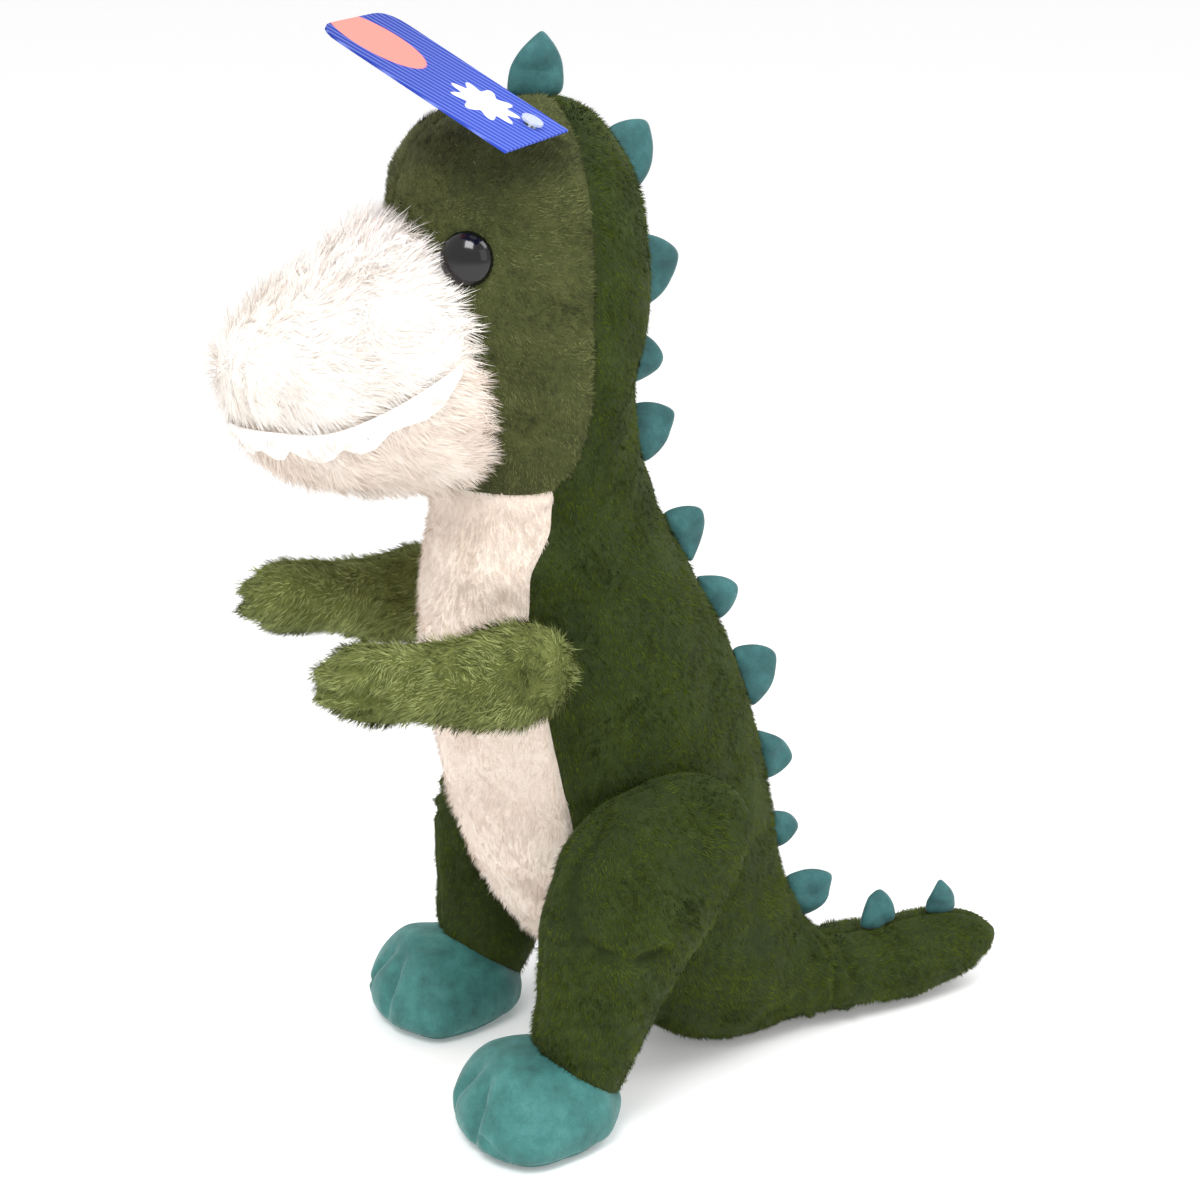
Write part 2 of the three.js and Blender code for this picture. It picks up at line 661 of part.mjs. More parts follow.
function buildTag(group) {
  const { foot: start, along, across } = TAG_PLACE;
  const up = new THREE.Vector3().crossVectors(across, along).normalize();
  const side = new THREE.Vector3().crossVectors(along, up).normalize();
  const [w, l, c] = [TAG.width / 2, TAG.length, TAG.corner];
  const card = new THREE.Shape();
  card.moveTo(-w, 0);
  card.lineTo(w, 0);
  card.lineTo(w, l - c);
  card.quadraticCurveTo(w, l, w - c, l);
  card.lineTo(c - w, l);
  card.quadraticCurveTo(-w, l, -w, l - c);
  card.closePath();
  const hole = new THREE.Path();
  const holeAt = new THREE.Vector2(w * 0.35, 7);
  hole.absarc(holeAt.x, holeAt.y, TAG.hole, 0, 2 * Math.PI, true);
  card.holes.push(hole);
  const slab = new THREE.ExtrudeGeometry(card, {
    depth: TAG.thickness, bevelEnabled: false, curveSegments: 5,
  });
  const lie = new THREE.Matrix4().makeBasis(side, along, up).setPosition(start);
  const board = new THREE.MeshStandardMaterial({ color: 0x2b3f9a, roughness: 0.3, metalness: 0 });
  sewn(group, 'tag_card', mergeVertices(stripped(slab)).applyMatrix4(lie), board);
  buildTagLoop(group, new THREE.Vector3(holeAt.x, holeAt.y, TAG.thickness / 2).applyMatrix4(lie), up);
}

// The plastic loop threads the card's hole and is shot into the seam on the crown.
function buildTagLoop(group, hole, up) {
  const crown = head.point(0.2, head.at(336), 0.9 - CLOTH);
  const path = new THREE.CatmullRomCurve3([
    crown,
    crown.clone().lerp(hole, 0.5).addScaledVector(up, -3.5),
    hole.clone().addScaledVector(up, -2),
    hole.clone().addScaledVector(up, 1.6),
  ]);
  const section = new THREE.Shape().absarc(0, 0, 0.6, 0, 2 * Math.PI);
  const strand = new THREE.ExtrudeGeometry(section, {
    steps: 7, extrudePath: path, curveSegments: 2, bevelEnabled: false,
  });
  const disc = new THREE.CylinderGeometry(3.6, 3.6, 0.8, 12).rotateX(Math.PI / 2);
  const button = placed(disc, hole.clone().addScaledVector(up, 1.9), up);
  const loop = solid(stripped(strand)).add(solid(button));
  const clear = new THREE.MeshStandardMaterial({ color: 0xdfe4e8, roughness: 0.2, metalness: 0 });
  sewn(group, 'tag_loop', geometryOf(loop), clear);
}

// ---------------------------------------------------------------- the toy

buildTorso(model);
buildHead(model);
buildThreads(model);
for (const side of ['left', 'right']) {
  buildArm(model, side);
  buildLeg(model, side);
}
buildTail(model);

const torsoSkin = filling(torso, { around: 20, along: 30, inset: -2 * GAP });
const headSkin = filling(head, { around: 20, along: 24, inset: -2 * GAP });
const tailSkin = filling(tail, { around: 16, along: 10, inset: -2 * GAP })
  .rotateX(Math.PI / 2).scale(1, -1, 1);
buildFins(model, 'head_fin', HEAD_FINS, headSkin);
buildFins(model, 'back_fin', TORSO_FINS, torsoSkin);
buildFins(model, 'tail_fin', TAIL_FINS, turnedInsideOut(tailSkin));
buildTag(model);

export default model;
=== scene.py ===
"""Looks of a stuffed dinosaur: plush skins, long-pile muzzle, velour fins and feet, eyes and a hang tag.

Every length is in metres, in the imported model's own frame: +Z up, the face towards -Y, its left side +X.
"""

import json
import math

import bmesh
import bpy
import numpy as np
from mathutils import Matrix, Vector
from mathutils.bvhtree import BVHTree
from mathutils.kdtree import KDTree


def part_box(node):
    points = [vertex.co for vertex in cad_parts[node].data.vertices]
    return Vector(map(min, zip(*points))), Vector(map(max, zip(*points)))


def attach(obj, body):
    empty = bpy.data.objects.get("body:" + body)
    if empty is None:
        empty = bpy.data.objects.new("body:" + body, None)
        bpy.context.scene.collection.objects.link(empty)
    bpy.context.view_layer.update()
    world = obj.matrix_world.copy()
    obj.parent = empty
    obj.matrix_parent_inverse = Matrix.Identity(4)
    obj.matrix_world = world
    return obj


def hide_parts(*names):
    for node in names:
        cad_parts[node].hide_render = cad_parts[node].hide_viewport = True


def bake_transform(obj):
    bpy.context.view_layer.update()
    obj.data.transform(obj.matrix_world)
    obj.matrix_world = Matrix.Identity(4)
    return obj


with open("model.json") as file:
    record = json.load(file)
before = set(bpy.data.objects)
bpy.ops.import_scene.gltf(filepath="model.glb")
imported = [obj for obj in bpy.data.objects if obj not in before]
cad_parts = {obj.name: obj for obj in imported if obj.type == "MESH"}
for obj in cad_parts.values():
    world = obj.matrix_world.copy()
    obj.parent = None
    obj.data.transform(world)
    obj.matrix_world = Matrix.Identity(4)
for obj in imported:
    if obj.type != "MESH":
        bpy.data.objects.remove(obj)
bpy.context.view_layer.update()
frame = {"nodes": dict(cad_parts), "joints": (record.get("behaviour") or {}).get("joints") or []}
JOINTS = {joint["name"]: joint for joint in frame["joints"]}
MM = 0.001
SIDES = ("left", "right")


# ------------------------------------------------------------------ camera

LOOK_AT = Vector((0, -17.1, 170)) * MM
STAND_AT = Vector((782, -324.7, 430)) * MM


def build_camera():
    data = bpy.data.cameras.new("camera")
    data.sensor_width = 36
    data.lens = 76.6
    camera = bpy.data.objects.new("camera", data)
    camera.location = STAND_AT
    camera.rotation_euler = (LOOK_AT - STAND_AT).to_track_quat("-Z", "Y").to_euler()
    bpy.context.scene.collection.objects.link(camera)
    bpy.context.scene.camera = camera


# ------------------------------------------------------------------ colours

def rgb(code):
    """A screen colour, such as 2f4420, as linear numbers with alpha."""
    parts = [int(code[i:i + 2], 16) / 255 for i in (0, 2, 4)]
    return tuple(c / 12.92 if c < 0.04045 else ((c + 0.055) / 1.055) ** 2.4 for c in parts) + (1,)


def tones(dark, light, count=5):
    """Even steps from one colour to another."""
    return [between(rgb(dark), rgb(light), k / (count - 1)) for k in range(count)]


def between(a, b, share):
    return tuple(x + (y - x) * share for x, y in zip(a, b))


# ------------------------------------------------------------------ shader maths

class Value:
    """An output socket that works as a number in an expression, adding its Math nodes."""

    def __init__(self, finish, socket):
        self.finish = finish
        self.socket = socket

    def math(self, operation, first, second=0.0):
        return self.finish.node("ShaderNodeMath", {"operation": operation}, {0: first, 1: second})

    def __add__(self, other):
        return self.math("ADD", self, other)

    def __radd__(self, other):
        return self.math("ADD", other, self)

    def __sub__(self, other):
        return self.math("SUBTRACT", self, other)

    def __rsub__(self, other):
        return self.math("SUBTRACT", other, self)

    def __mul__(self, other):
        return self.math("MULTIPLY", self, other)

    def __rmul__(self, other):
        return self.math("MULTIPLY", other, self)

    def __truediv__(self, other):
        return self.math("DIVIDE", self, other)

    def power(self, other):
        return self.math("POWER", self, other)

    def sine(self):
        return self.math("SINE", self)

    def smooth(self, low, high):
        """0 below low, 1 above high, with a soft step between."""
        return self.finish.node("ShaderNodeMapRange", {"interpolation_type": "SMOOTHSTEP"},
                                {"Value": self, "From Min": low, "From Max": high})


class Finish:
    """A material while its nodes are being laid out."""

    def __init__(self, name):
        self.material = bpy.data.materials.new(name)
        self.material.use_nodes = True
        self.tree = self.material.node_tree
        self.tree.nodes.clear()
        self.places = self.node("ShaderNodeTexCoord", output="Object")

    def node(self, kind, settings=None, sockets=None, output=0):
        """A new node: its settings are set first, then its sockets' values or links."""
        made = self.tree.nodes.new(kind)
        for key, value in (settings or {}).items():
            if key == "stops":
                self.set_stops(made.color_ramp, value)
            else:
                setattr(made, key, value)
        for key, value in (sockets or {}).items():
            if isinstance(value, Value):
                self.tree.links.new(value.socket, made.inputs[key])
            else:
                made.inputs[key].default_value = value
        return Value(self, made.outputs[output]) if len(made.outputs) else None

    @staticmethod
    def set_stops(ramp, stops):
        while len(ramp.elements) < len(stops):
            ramp.elements.new(1)
        for element, (place, colour) in zip(ramp.elements, stops):
            element.position = place
            element.color = colour

    def noise(self, size, detail=3, rough=0.5):
        """Cloudy numbers from 0 to 1 with patches about size across."""
        return self.node("ShaderNodeTexNoise", sockets={
            "Vector": self.places, "Scale": 1 / size, "Detail": detail, "Roughness": rough})

    def mix(self, share, first, second):
        return self.node("ShaderNodeMix", {"data_type": "RGBA"}, {0: share, 6: first, 7: second}, output=2)

    def ramp(self, share, *stops):
        return self.node("ShaderNodeValToRGB", {"stops": stops}, {"Fac": share})

    def along(self, direction, origin):
        """How far a point lies from origin along a direction."""
        moved = self.node("ShaderNodeVectorMath", {"operation": "SUBTRACT"}, {0: self.places, 1: origin})
        return self.node("ShaderNodeVectorMath", {"operation": "DOT_PRODUCT"}, {0: moved, 1: direction},
                         output="Value")

    def bump(self, height, distance, strength):
        return self.node("ShaderNodeBump", sockets={
            "Height": height, "Distance": distance, "Strength": strength})

    def surface(self, **sockets):
        """Ends the material with one Principled surface and returns the material."""
        named = {key.replace("_", " "): value for key, value in sockets.items()}
        shader = self.node("ShaderNodeBsdfPrincipled", sockets=named)
        self.node("ShaderNodeOutputMaterial", sockets={"Surface": shader})
        return self.material


def plush(name, deep, shown, lit, sheen, tuft=3.2 * MM, roughness=0.92):
    """The ground of a pile fabric, coloured from a painted shaded tone (deep) through its own (shown) to a
    painted lit tone (lit): patches where the pile leans are painted light and shade where the nap catches
    the light, and tufts and single fibres mottle it between the same tones.
    """
    f = Finish(name)
    lean = f.noise(22 * MM, 2)
    tufts = f.noise(tuft, 3, 0.6)
    fibres = f.noise(0.55 * MM, 2, 0.7)
    tone_and_painted_light = lean * 0.5 + tufts * 0.6 + fibres * 0.5 - 0.32
    # painted light and shade: the ramp runs from a shaded copy of the cloth's colour to a lit copy
    colour = f.ramp(tone_and_painted_light, (0.18, deep), (0.5, shown), (0.86, lit))
    relief = f.bump(fibres * 0.35 + tufts * 0.65, 0.9 * MM, 0.75)
    return f.surface(Base_Color=colour, Roughness=roughness - 0.12 * tufts, Normal=relief,
                     Sheen_Weight=0.35, Sheen_Roughness=0.5, Sheen_Tint=sheen, Specular_IOR_Level=0.25)


def strand_set(name, colours, glow=0.0, shine=0.2):
    """Plain finishes for the single fibres of a pile, from shaded to lit.

    Pale fibres pass light on to each other, which a little glow stands for."""
    made = []
    for i, colour in enumerate(colours):
        f = Finish(f"{name}_{i + 1}")
        made.append(f.surface(Base_Color=colour, Roughness=0.7, Specular_IOR_Level=shine,
                              Sheen_Weight=shine, Sheen_Roughness=0.5, Sheen_Tint=colour,
                              Emission_Color=colour, Emission_Strength=glow))
    return made


def velour(name, deep, shown, lit):
    """Short, dense, slightly glossy velour with brushed streaks, painted from a shaded tone (deep) through
    its own (shown) to a lit tone (lit) where the nap catches the light.
    """
    f = Finish(name)
    streaks = f.noise(7 * MM, 4, 0.65)
    nap = f.noise(0.42 * MM, 2, 0.8)
    broad = f.noise(18 * MM, 2)
    tone_and_painted_light = streaks * 0.7 + broad * 0.45 + nap * 0.35 - 0.25
    # painted light and shade: streaks and broad patches run from a shaded copy of the velour's colour to a
    # lit copy
    colour = f.ramp(tone_and_painted_light, (0.25, deep), (0.52, shown), (0.85, lit))
    relief = f.bump(nap * 0.6 + streaks * 0.4, 0.45 * MM, 0.6)
    return f.surface(Base_Color=colour, Roughness=0.78 - 0.15 * streaks, Normal=relief,
                     Sheen_Weight=0.6, Sheen_Roughness=0.35, Sheen_Tint=between(shown, (1, 1, 1, 1), 0.35))


def felt(name, shown, shadow):
    f = Finish(name)
    fibres = f.noise(0.5 * MM, 4, 0.75)
    flock = f.noise(3 * MM, 3, 0.6)
    colour = f.mix((fibres * 0.6 + flock * 0.6).smooth(0.3, 0.8), shadow, shown)
    return f.surface(Base_Color=colour, Roughness=0.9 - 0.1 * fibres, Sheen_Weight=0.2,
                     Normal=f.bump(fibres + flock * 0.5, 0.4 * MM, 0.6))


def glossy_black(name):
    f = Finish(name)
    dust = f.noise(1.4 * MM, 4, 0.7)
    colour = f.mix(dust.smooth(0.55, 0.75), rgb("08080b"), rgb("121219"))
    return f.surface(Base_Color=colour, Roughness=0.1 + 0.06 * dust, Specular_IOR_Level=0.5)


def fibre_fill(name):
    f = Finish(name)
    wads = f.noise(6 * MM, 4, 0.7)
    hairs = f.noise(0.8 * MM, 3, 0.8)
    colour = f.mix((wads * 0.7 + hairs * 0.4).smooth(0.3, 0.8), rgb("d6d4cd"), rgb("f7f6f2"))
    relief = f.bump(wads + hairs, 1.2 * MM, 0.7)
    return f.surface(Base_Color=colour, Roughness=0.95 - 0.05 * hairs, Normal=relief)


def moulded(name, shown, roughness, alpha=1.0):
    f = Finish(name)
    grain = f.noise(0.9 * MM, 3, 0.6)
    return f.surface(Base_Color=f.mix(grain, shown, between(shown, (1, 1, 1, 1), 0.12)), Alpha=alpha,
                     Roughness=roughness + 0.1 * grain, Normal=f.bump(grain, 0.1 * MM, 0.3))


def spun_thread(name, shown, lit):
    f = Finish(name)
    ply = f.noise(0.35 * MM, 2, 0.6)
    # painted highlight: the plies mix the thread's own colour with a lit copy of it
    return f.surface(Base_Color=f.mix(ply.smooth(0.3, 0.7), shown, lit), Roughness=0.6 + 0.1 * ply,
                     Normal=f.bump(ply, 0.2 * MM, 0.6))


# ------------------------------------------------------------------ mesh arrays

def numbers(collection, field, width=3):
    """One field of all a collection's items, as an array with a row an item."""
    out = np.empty(len(collection) * width, np.float64 if field != "vertices" else np.int32)
    collection.foreach_get(field, out)
    return out.reshape(-1, width) if width > 1 else out


def points_of(mesh):
    return numbers(mesh.vertices, "co")


def normals_of(mesh):
    return numbers(mesh.vertex_normals, "vector")


def move_points(mesh, points):
    mesh.vertices.foreach_set("co", points.ravel())
    mesh.update()


def edges_of(mesh):
    return numbers(mesh.edges, "vertices", 2)


def relaxed(values, edges, rounds, strength=0.5, fixed=None):
    """Values drawn towards their neighbours' average."""
    values = values.copy()
    wide = values.reshape(len(values), -1)
    count = np.zeros(len(values))
    np.add.at(count, edges.ravel(), 1)
    count = np.maximum(count, 1)[:, None]
    for _ in range(rounds):
        total = np.zeros_like(wide)
        np.add.at(total, edges[:, 0], wide[edges[:, 1]])
        np.add.at(total, edges[:, 1], wide[edges[:, 0]])
        step = strength * (total / count - wide)
        if fixed is not None:
            step[fixed] = 0
        wide += step
    return values


def waves(points, size, seed, count=9):
    """A smooth random field from -1 to 1 whose swells are about size across."""
    rng = np.random.default_rng(seed)
    total = np.zeros(len(points))
    for _ in range(count):
        way = rng.normal(size=3)
        way /= np.linalg.norm(way)
        pitch = 2 * math.pi / (size * rng.uniform(0.7, 1.6))
        total += np.sin(points @ way * pitch + rng.uniform(0, 2 * math.pi))
    return total / math.sqrt(count / 2) / 1.6


def welded(name, points, faces, gap, outwards=False):
    """A smoothly shaded mesh whose doubled points are joined."""
    bm = bmesh.new()
    bm.from_mesh(mesh_of("loose", points, faces))
    bmesh.ops.remove_doubles(bm, verts=bm.verts, dist=gap)
    if outwards:
        bmesh.ops.recalc_face_normals(bm, faces=bm.faces)
    mesh = bpy.data.meshes.new(name)
    bm.to_mesh(mesh)
    bm.free()
    mesh.polygons.foreach_set("use_smooth", [True] * len(mesh.polygons))
    return mesh


def object_of(name, mesh):
    made = bpy.data.objects.new(name, mesh)
    bpy.context.scene.collection.objects.link(made)
    return made


def mesh_of(name, points, faces):
    mesh = bpy.data.meshes.new(name)
    mesh.from_pydata(np.asarray(points).tolist(), [], [list(map(int, f)) for f in faces])
    mesh.validate()
    mesh.update()
    return mesh


def with_modifier(mesh, kind, **settings):
    """The mesh after one modifier."""
    carrier = object_of("carrier", mesh)
    modifier = carrier.modifiers.new(kind, kind)
    for key, value in settings.items():
        setattr(modifier, key, value)
    graph = bpy.context.evaluated_depsgraph_get()
    made = bpy.data.meshes.new_from_object(carrier.evaluated_get(graph))
    bpy.data.objects.remove(carrier)
    return made


def subdivided(mesh):
    return with_modifier(mesh, "SUBSURF", levels=1, render_levels=1)


def outermost(mesh):
    """The largest closed shell of a mesh."""
    bm = bmesh.new()
    bm.from_mesh(mesh)
    left = set(bm.verts)
    shells = []
    while left:
        shell = {left.pop()}
        rim = list(shell)
        while rim:
            for e in rim.pop().link_edges:
                for v in e.verts:
                    if v in left:
                        left.remove(v)
                        shell.add(v)
                        rim.append(v)
        shells.append(shell)
    keep = max(shells, key=len)
    bmesh.ops.delete(bm, geom=[v for v in bm.verts if v not in keep], context="VERTS")
    bm.to_mesh(mesh)
    bm.free()
    mesh.update()
    return mesh


# ------------------------------------------------------------------ skins from the frame's solids

INSET = 3.4 * MM        # how far the stuffing grows to reach the cloth
REACH = 12 * MM         # how far a skin looks for the panel that it is drawn to
PULL = 1.2 * MM         # how far a seam may be moved, or stuffed cloth may sink


def swollen(node, amount):
    """A CAD node's welded corners and faces, grown outwards."""
    bm = bmesh.new()
    bm.from_mesh(frame["nodes"][node].data)
    bmesh.ops.remove_doubles(bm, verts=bm.verts, dist=0.01 * MM)
    bm.normal_update()
    bm.verts.ensure_lookup_table()
    points = [v.co + v.normal * amount for v in bm.verts]
    faces = [[v.index for v in f.verts] for f in bm.faces]
    bm.free()
    return points, faces


def bridge(points):
    """The solid between two ends of a form that a joint's gap parts."""
    bm = bmesh.new()
    for p in points:
        bm.verts.new(p)
    made = bmesh.ops.convex_hull(bm, input=bm.verts)
    spare = {g for g in made["geom_interior"] + made["geom_unused"] if isinstance(g, bmesh.types.BMVert)}
    bmesh.ops.delete(bm, geom=list(spare), context="VERTS")
    bm.verts.index_update()
    solid = [v.co.copy() for v in bm.verts], [[v.index for v in f.verts] for f in bm.faces]
    bm.free()
    return solid


def blank(solids, voxel, rounds=6):
    """One even skin of small quads round overlapping solids."""
    points, faces = [], []
    for corners, sides in solids:
        faces += [[i + len(points) for i in side] for side in sides]
        points += [tuple(p) for p in corners]
    mesh = mesh_of("blank", points, faces)
    mesh = outermost(with_modifier(mesh, "REMESH", mode="VOXEL", voxel_size=voxel, adaptivity=0))
    move_points(mesh, relaxed(points_of(mesh), edges_of(mesh), rounds))
    return mesh


def tree_of(nodes):
    """A search tree over the joined faces of some CAD nodes."""
    points, faces = [], []
    for node in nodes:
        mesh = frame["nodes"][node].data
        mesh.calc_loop_triangles()
        triangles = numbers(mesh.loop_triangles, "vertices")
        faces += (triangles + len(points)).tolist()
        points += points_of(mesh).tolist()
    return BVHTree.FromPolygons(points, faces, all_triangles=True)


def fitted(mesh, panels, loose=None):
    """Draws a skin onto the outer faces of the cut panels, smoothly over their gaps.

    Where loose is true, it keeps the bridge's own shape."""
    tree = tree_of([node for group in panels.values() for node in group])
    points, normals, edges = points_of(mesh), normals_of(mesh), edges_of(mesh)
    moves = np.full(len(points), np.nan)
    for i, (p, n) in enumerate(zip(points, normals)):
        start = Vector(p + n * REACH)
        hit, facing, _, _ = tree.ray_cast(start, Vector(-n), 2 * REACH)
        if hit is not None and facing.dot(Vector(n)) > 0.35:
            moves[i] = (np.array(hit) - p) @ n
    if loose:
        moves[loose(points)] = np.nan
    known = ~np.isnan(moves)
    middle = np.median(moves[known])
    moves[known] = np.clip(moves[known], middle - 4 * MM, middle + 4 * MM)
    moves[~known] = middle
    moves = relaxed(moves, edges, 12, 0.6, fixed=known)
    moves = relaxed(moves, edges, 5)
    move_points(mesh, points + normals * moves[:, None])
    move_points(mesh, relaxed(points_of(mesh), edges, 3, 0.4))
    return mesh


def panel_distances(points, panels):
    """How far each point lies from each panel: one column a panel."""
    out = np.empty((len(points), len(panels)))
    for column, nodes in enumerate(panels.values()):
        tree = tree_of(nodes)
        out[:, column] = [tree.find_nearest(Vector(p))[3] for p in points]
    return out


def seam_distance(distances):
    """How far each point is from the nearest seam between two panels."""
    ordered = np.sort(distances, axis=1)
    return np.maximum(ordered[:, 1] - ordered[:, 0], 0)


FRAMES = 20             # how long the cloth simulation runs
HOLD = 2.2 * MM         # how near a seam the cloth is held


def stuffed(mesh, seams, cap, slack):
    """Fills the cloth with pressure while its seams are held, as a sewn skin is stuffed.

    The swelling between the seams is kept less its average, so the size stays and no cloth sinks far."""
    carrier = object_of("stuffing", mesh.copy())
    points, normals, edges = points_of(mesh), normals_of(mesh), edges_of(mesh)
    held = carrier.vertex_groups.new(name="held")
    held.add([int(i) for i in np.nonzero(seams < HOLD)[0]], 1.0, "REPLACE")
    cloth = carrier.modifiers.new("Cloth", "CLOTH")
    cloth.settings.use_pressure = True
    cloth.settings.uniform_pressure_force = 4
    cloth.settings.effector_weights.gravity = 0
    cloth.settings.vertex_group_mass = "held"
    cloth.settings.shrink_min = -slack
    cloth.settings.tension_stiffness = 8
    cloth.settings.compression_stiffness = 8
    cloth.settings.bending_stiffness = 0.4
    cloth.settings.quality = 4
    cloth.point_cache.frame_start = 1
    cloth.point_cache.frame_end = FRAMES
    for number in range(1, FRAMES + 1):
        bpy.context.scene.frame_set(number)
    graph = bpy.context.evaluated_depsgraph_get()
    result = bpy.data.meshes.new_from_object(carrier.evaluated_get(graph))
    moves = ((points_of(result) - points) * normals).sum(1)
    bpy.data.objects.remove(carrier)
    bpy.context.scene.frame_set(1)
    moves = np.clip(np.nan_to_num(moves), -cap, cap)
    moves = relaxed(moves, edges, 2)
    return np.maximum(moves - moves.mean(), -PULL)


def labelled(mesh, distances):
    """The corners and the panel of each face, and the panels that meet at each point."""
    quads = [list(p.vertices) for p in mesh.polygons]
    labels = np.array([distances[q].sum(0).argmin() for q in quads])
    touching = [set() for _ in mesh.vertices]
    for q, label in zip(quads, labels):
        for v in q:
            touching[v].add(int(label))
    return quads, labels, touching


def draw_to_seams(mesh, panels, touching, moved):
    """Moves the edges between panels onto the seams, and evens them; moved points only get evened."""
    trees = [tree_of(nodes) for nodes in panels.values()]
    points, normals = points_of(mesh), normals_of(mesh)
    for v, groups in enumerate(touching):
        if len(groups) < 2 or moved[v]:
            continue
        a, b = sorted(groups)[:2]
        for _ in range(2):
            p = Vector(points[v])
            near_a, _, _, far_a = trees[a].find_nearest(p)
            near_b, _, _, far_b = trees[b].find_nearest(p)
            towards = near_a - near_b
            towards -= towards.dot(Vector(normals[v])) * Vector(normals[v])
            if towards.length < 1e-6:
                break
            points[v] += np.array(towards.normalized()) * max(-PULL, min(PULL, (far_a - far_b) / 2))
    sewn = np.array([len(groups) > 1 for groups in touching])
    edges = edges_of(mesh)
    move_points(mesh, relaxed(points, edges[sewn[edges].all(1)], 4, fixed=~sewn))
    return sewn


def reach_of(points, chosen):
    """How far each point lies from the nearest of the chosen ones."""
    tree = KDTree(int(chosen.sum()))
    for i, p in enumerate(points[chosen]):
        tree.insert(p, i)
    tree.balance()
    return np.array([tree.find(p)[2] for p in points])


def pressed(points, normals, line, width, depth):
    """Presses a soft groove along a line of points into a skin; a negative depth raises a ridge."""
    line = np.array(line, float)
    nearest = np.full(len(points), np.inf)
    for a, b in zip(line, line[1:]):
        run = b - a
        share = np.clip((points - a) @ run / (run @ run), 0, 1)
        nearest = np.minimum(nearest, np.linalg.norm(points - a - share[:, None] * run, axis=1))
    return points - normals * (depth * np.exp(-(nearest / width) ** 2))[:, None]


def places(node, *shares):
    """Points given as shares of a CAD node's box."""
    low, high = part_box(node)
    return [[a + (b - a) * s for a, b, s in zip(low, high, share)] for share in shares]


def cut_out(name, mesh, quads, chosen, seams):
    """The chosen faces of a skin as an object of their own, shaded as one with the rest."""
    faces = [quads[i] for i in np.nonzero(chosen)[0]]
    used = sorted({v for face in faces for v in face})
    renumbered = {v: i for i, v in enumerate(used)}
    cloth = mesh_of(name, points_of(mesh)[used], [[renumbered[v] for v in face] for face in faces])
    cloth.polygons.foreach_set("use_smooth", [True] * len(cloth.polygons))
    cloth.normals_split_custom_set_from_vertices(normals_of(mesh)[used].tolist())
    reach = cloth.attributes.new("seam", "FLOAT", "POINT")
    reach.data.foreach_set("value", seams[used].astype(np.float32))
    return object_of(name, cloth)


GROOVE = 1.5 * MM       # how deep and how wide a seam sinks
GROOVE_WIDTH = 1.3 * MM
FULL_PILE = 2.5 * MM    # how far from a seam the pile stands at its full length


def sewn_skin(solids, panels, voxel, cap, slack=0.02, shape=None, loose=None, recut=None):
    """A stuffed skin, labelled with its panels: mesh, faces, labels and distance to the seams."""
    mesh = fitted(blank(solids, voxel), panels, loose=loose)
    seams = seam_distance(panel_distances(points_of(mesh), panels))
    swell = stuffed(mesh, seams, cap, slack)
    move_points(mesh, points_of(mesh) + normals_of(mesh) * swell[:, None])
    mesh = subdivided(mesh)
    distances = panel_distances(points_of(mesh), panels)
    moved = np.zeros(len(distances), bool)
    if recut:
        moved = recut(points_of(mesh), distances)
    quads, labels, touching = labelled(mesh, distances)
    sewn = draw_to_seams(mesh, panels, touching, moved)
    points, normals = points_of(mesh), normals_of(mesh)
    seams = reach_of(points, sewn)
    points -= normals * (GROOVE * np.exp(-(seams / GROOVE_WIDTH) ** 2))[:, None]
    if shape:
        before = points
        points = shape(points, normals)
        sunk = ((before - points) * normals).sum(1)
        seams = np.minimum(seams, FULL_PILE * np.clip(1.6 - sunk / (1.5 * MM), -0.15, 1))
    move_points(mesh, points)
    return mesh, quads, labels, seams


def finished(piece, body, *materials, slot=None, replaces=(), fill=None):
    """Gives a piece its materials, puts it under its body's empty where the body is a name and else only
    bakes its place, and hides the nodes that it stands for; slot and fill are not used.
    """
    for material in materials:
        piece.data.materials.append(material)
    if isinstance(body, str):
        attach(piece, body)
    else:
        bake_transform(piece)
    if replaces:
        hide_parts(*replaces)
    return piece


# ------------------------------------------------------------------ pile

SEAM_PILE = 0.45        # the share of its length that the pile has at a seam
PATCH = 20 * MM         # the size of the patches where the pile leans one way, and of the fibres' patches of painted light and shade
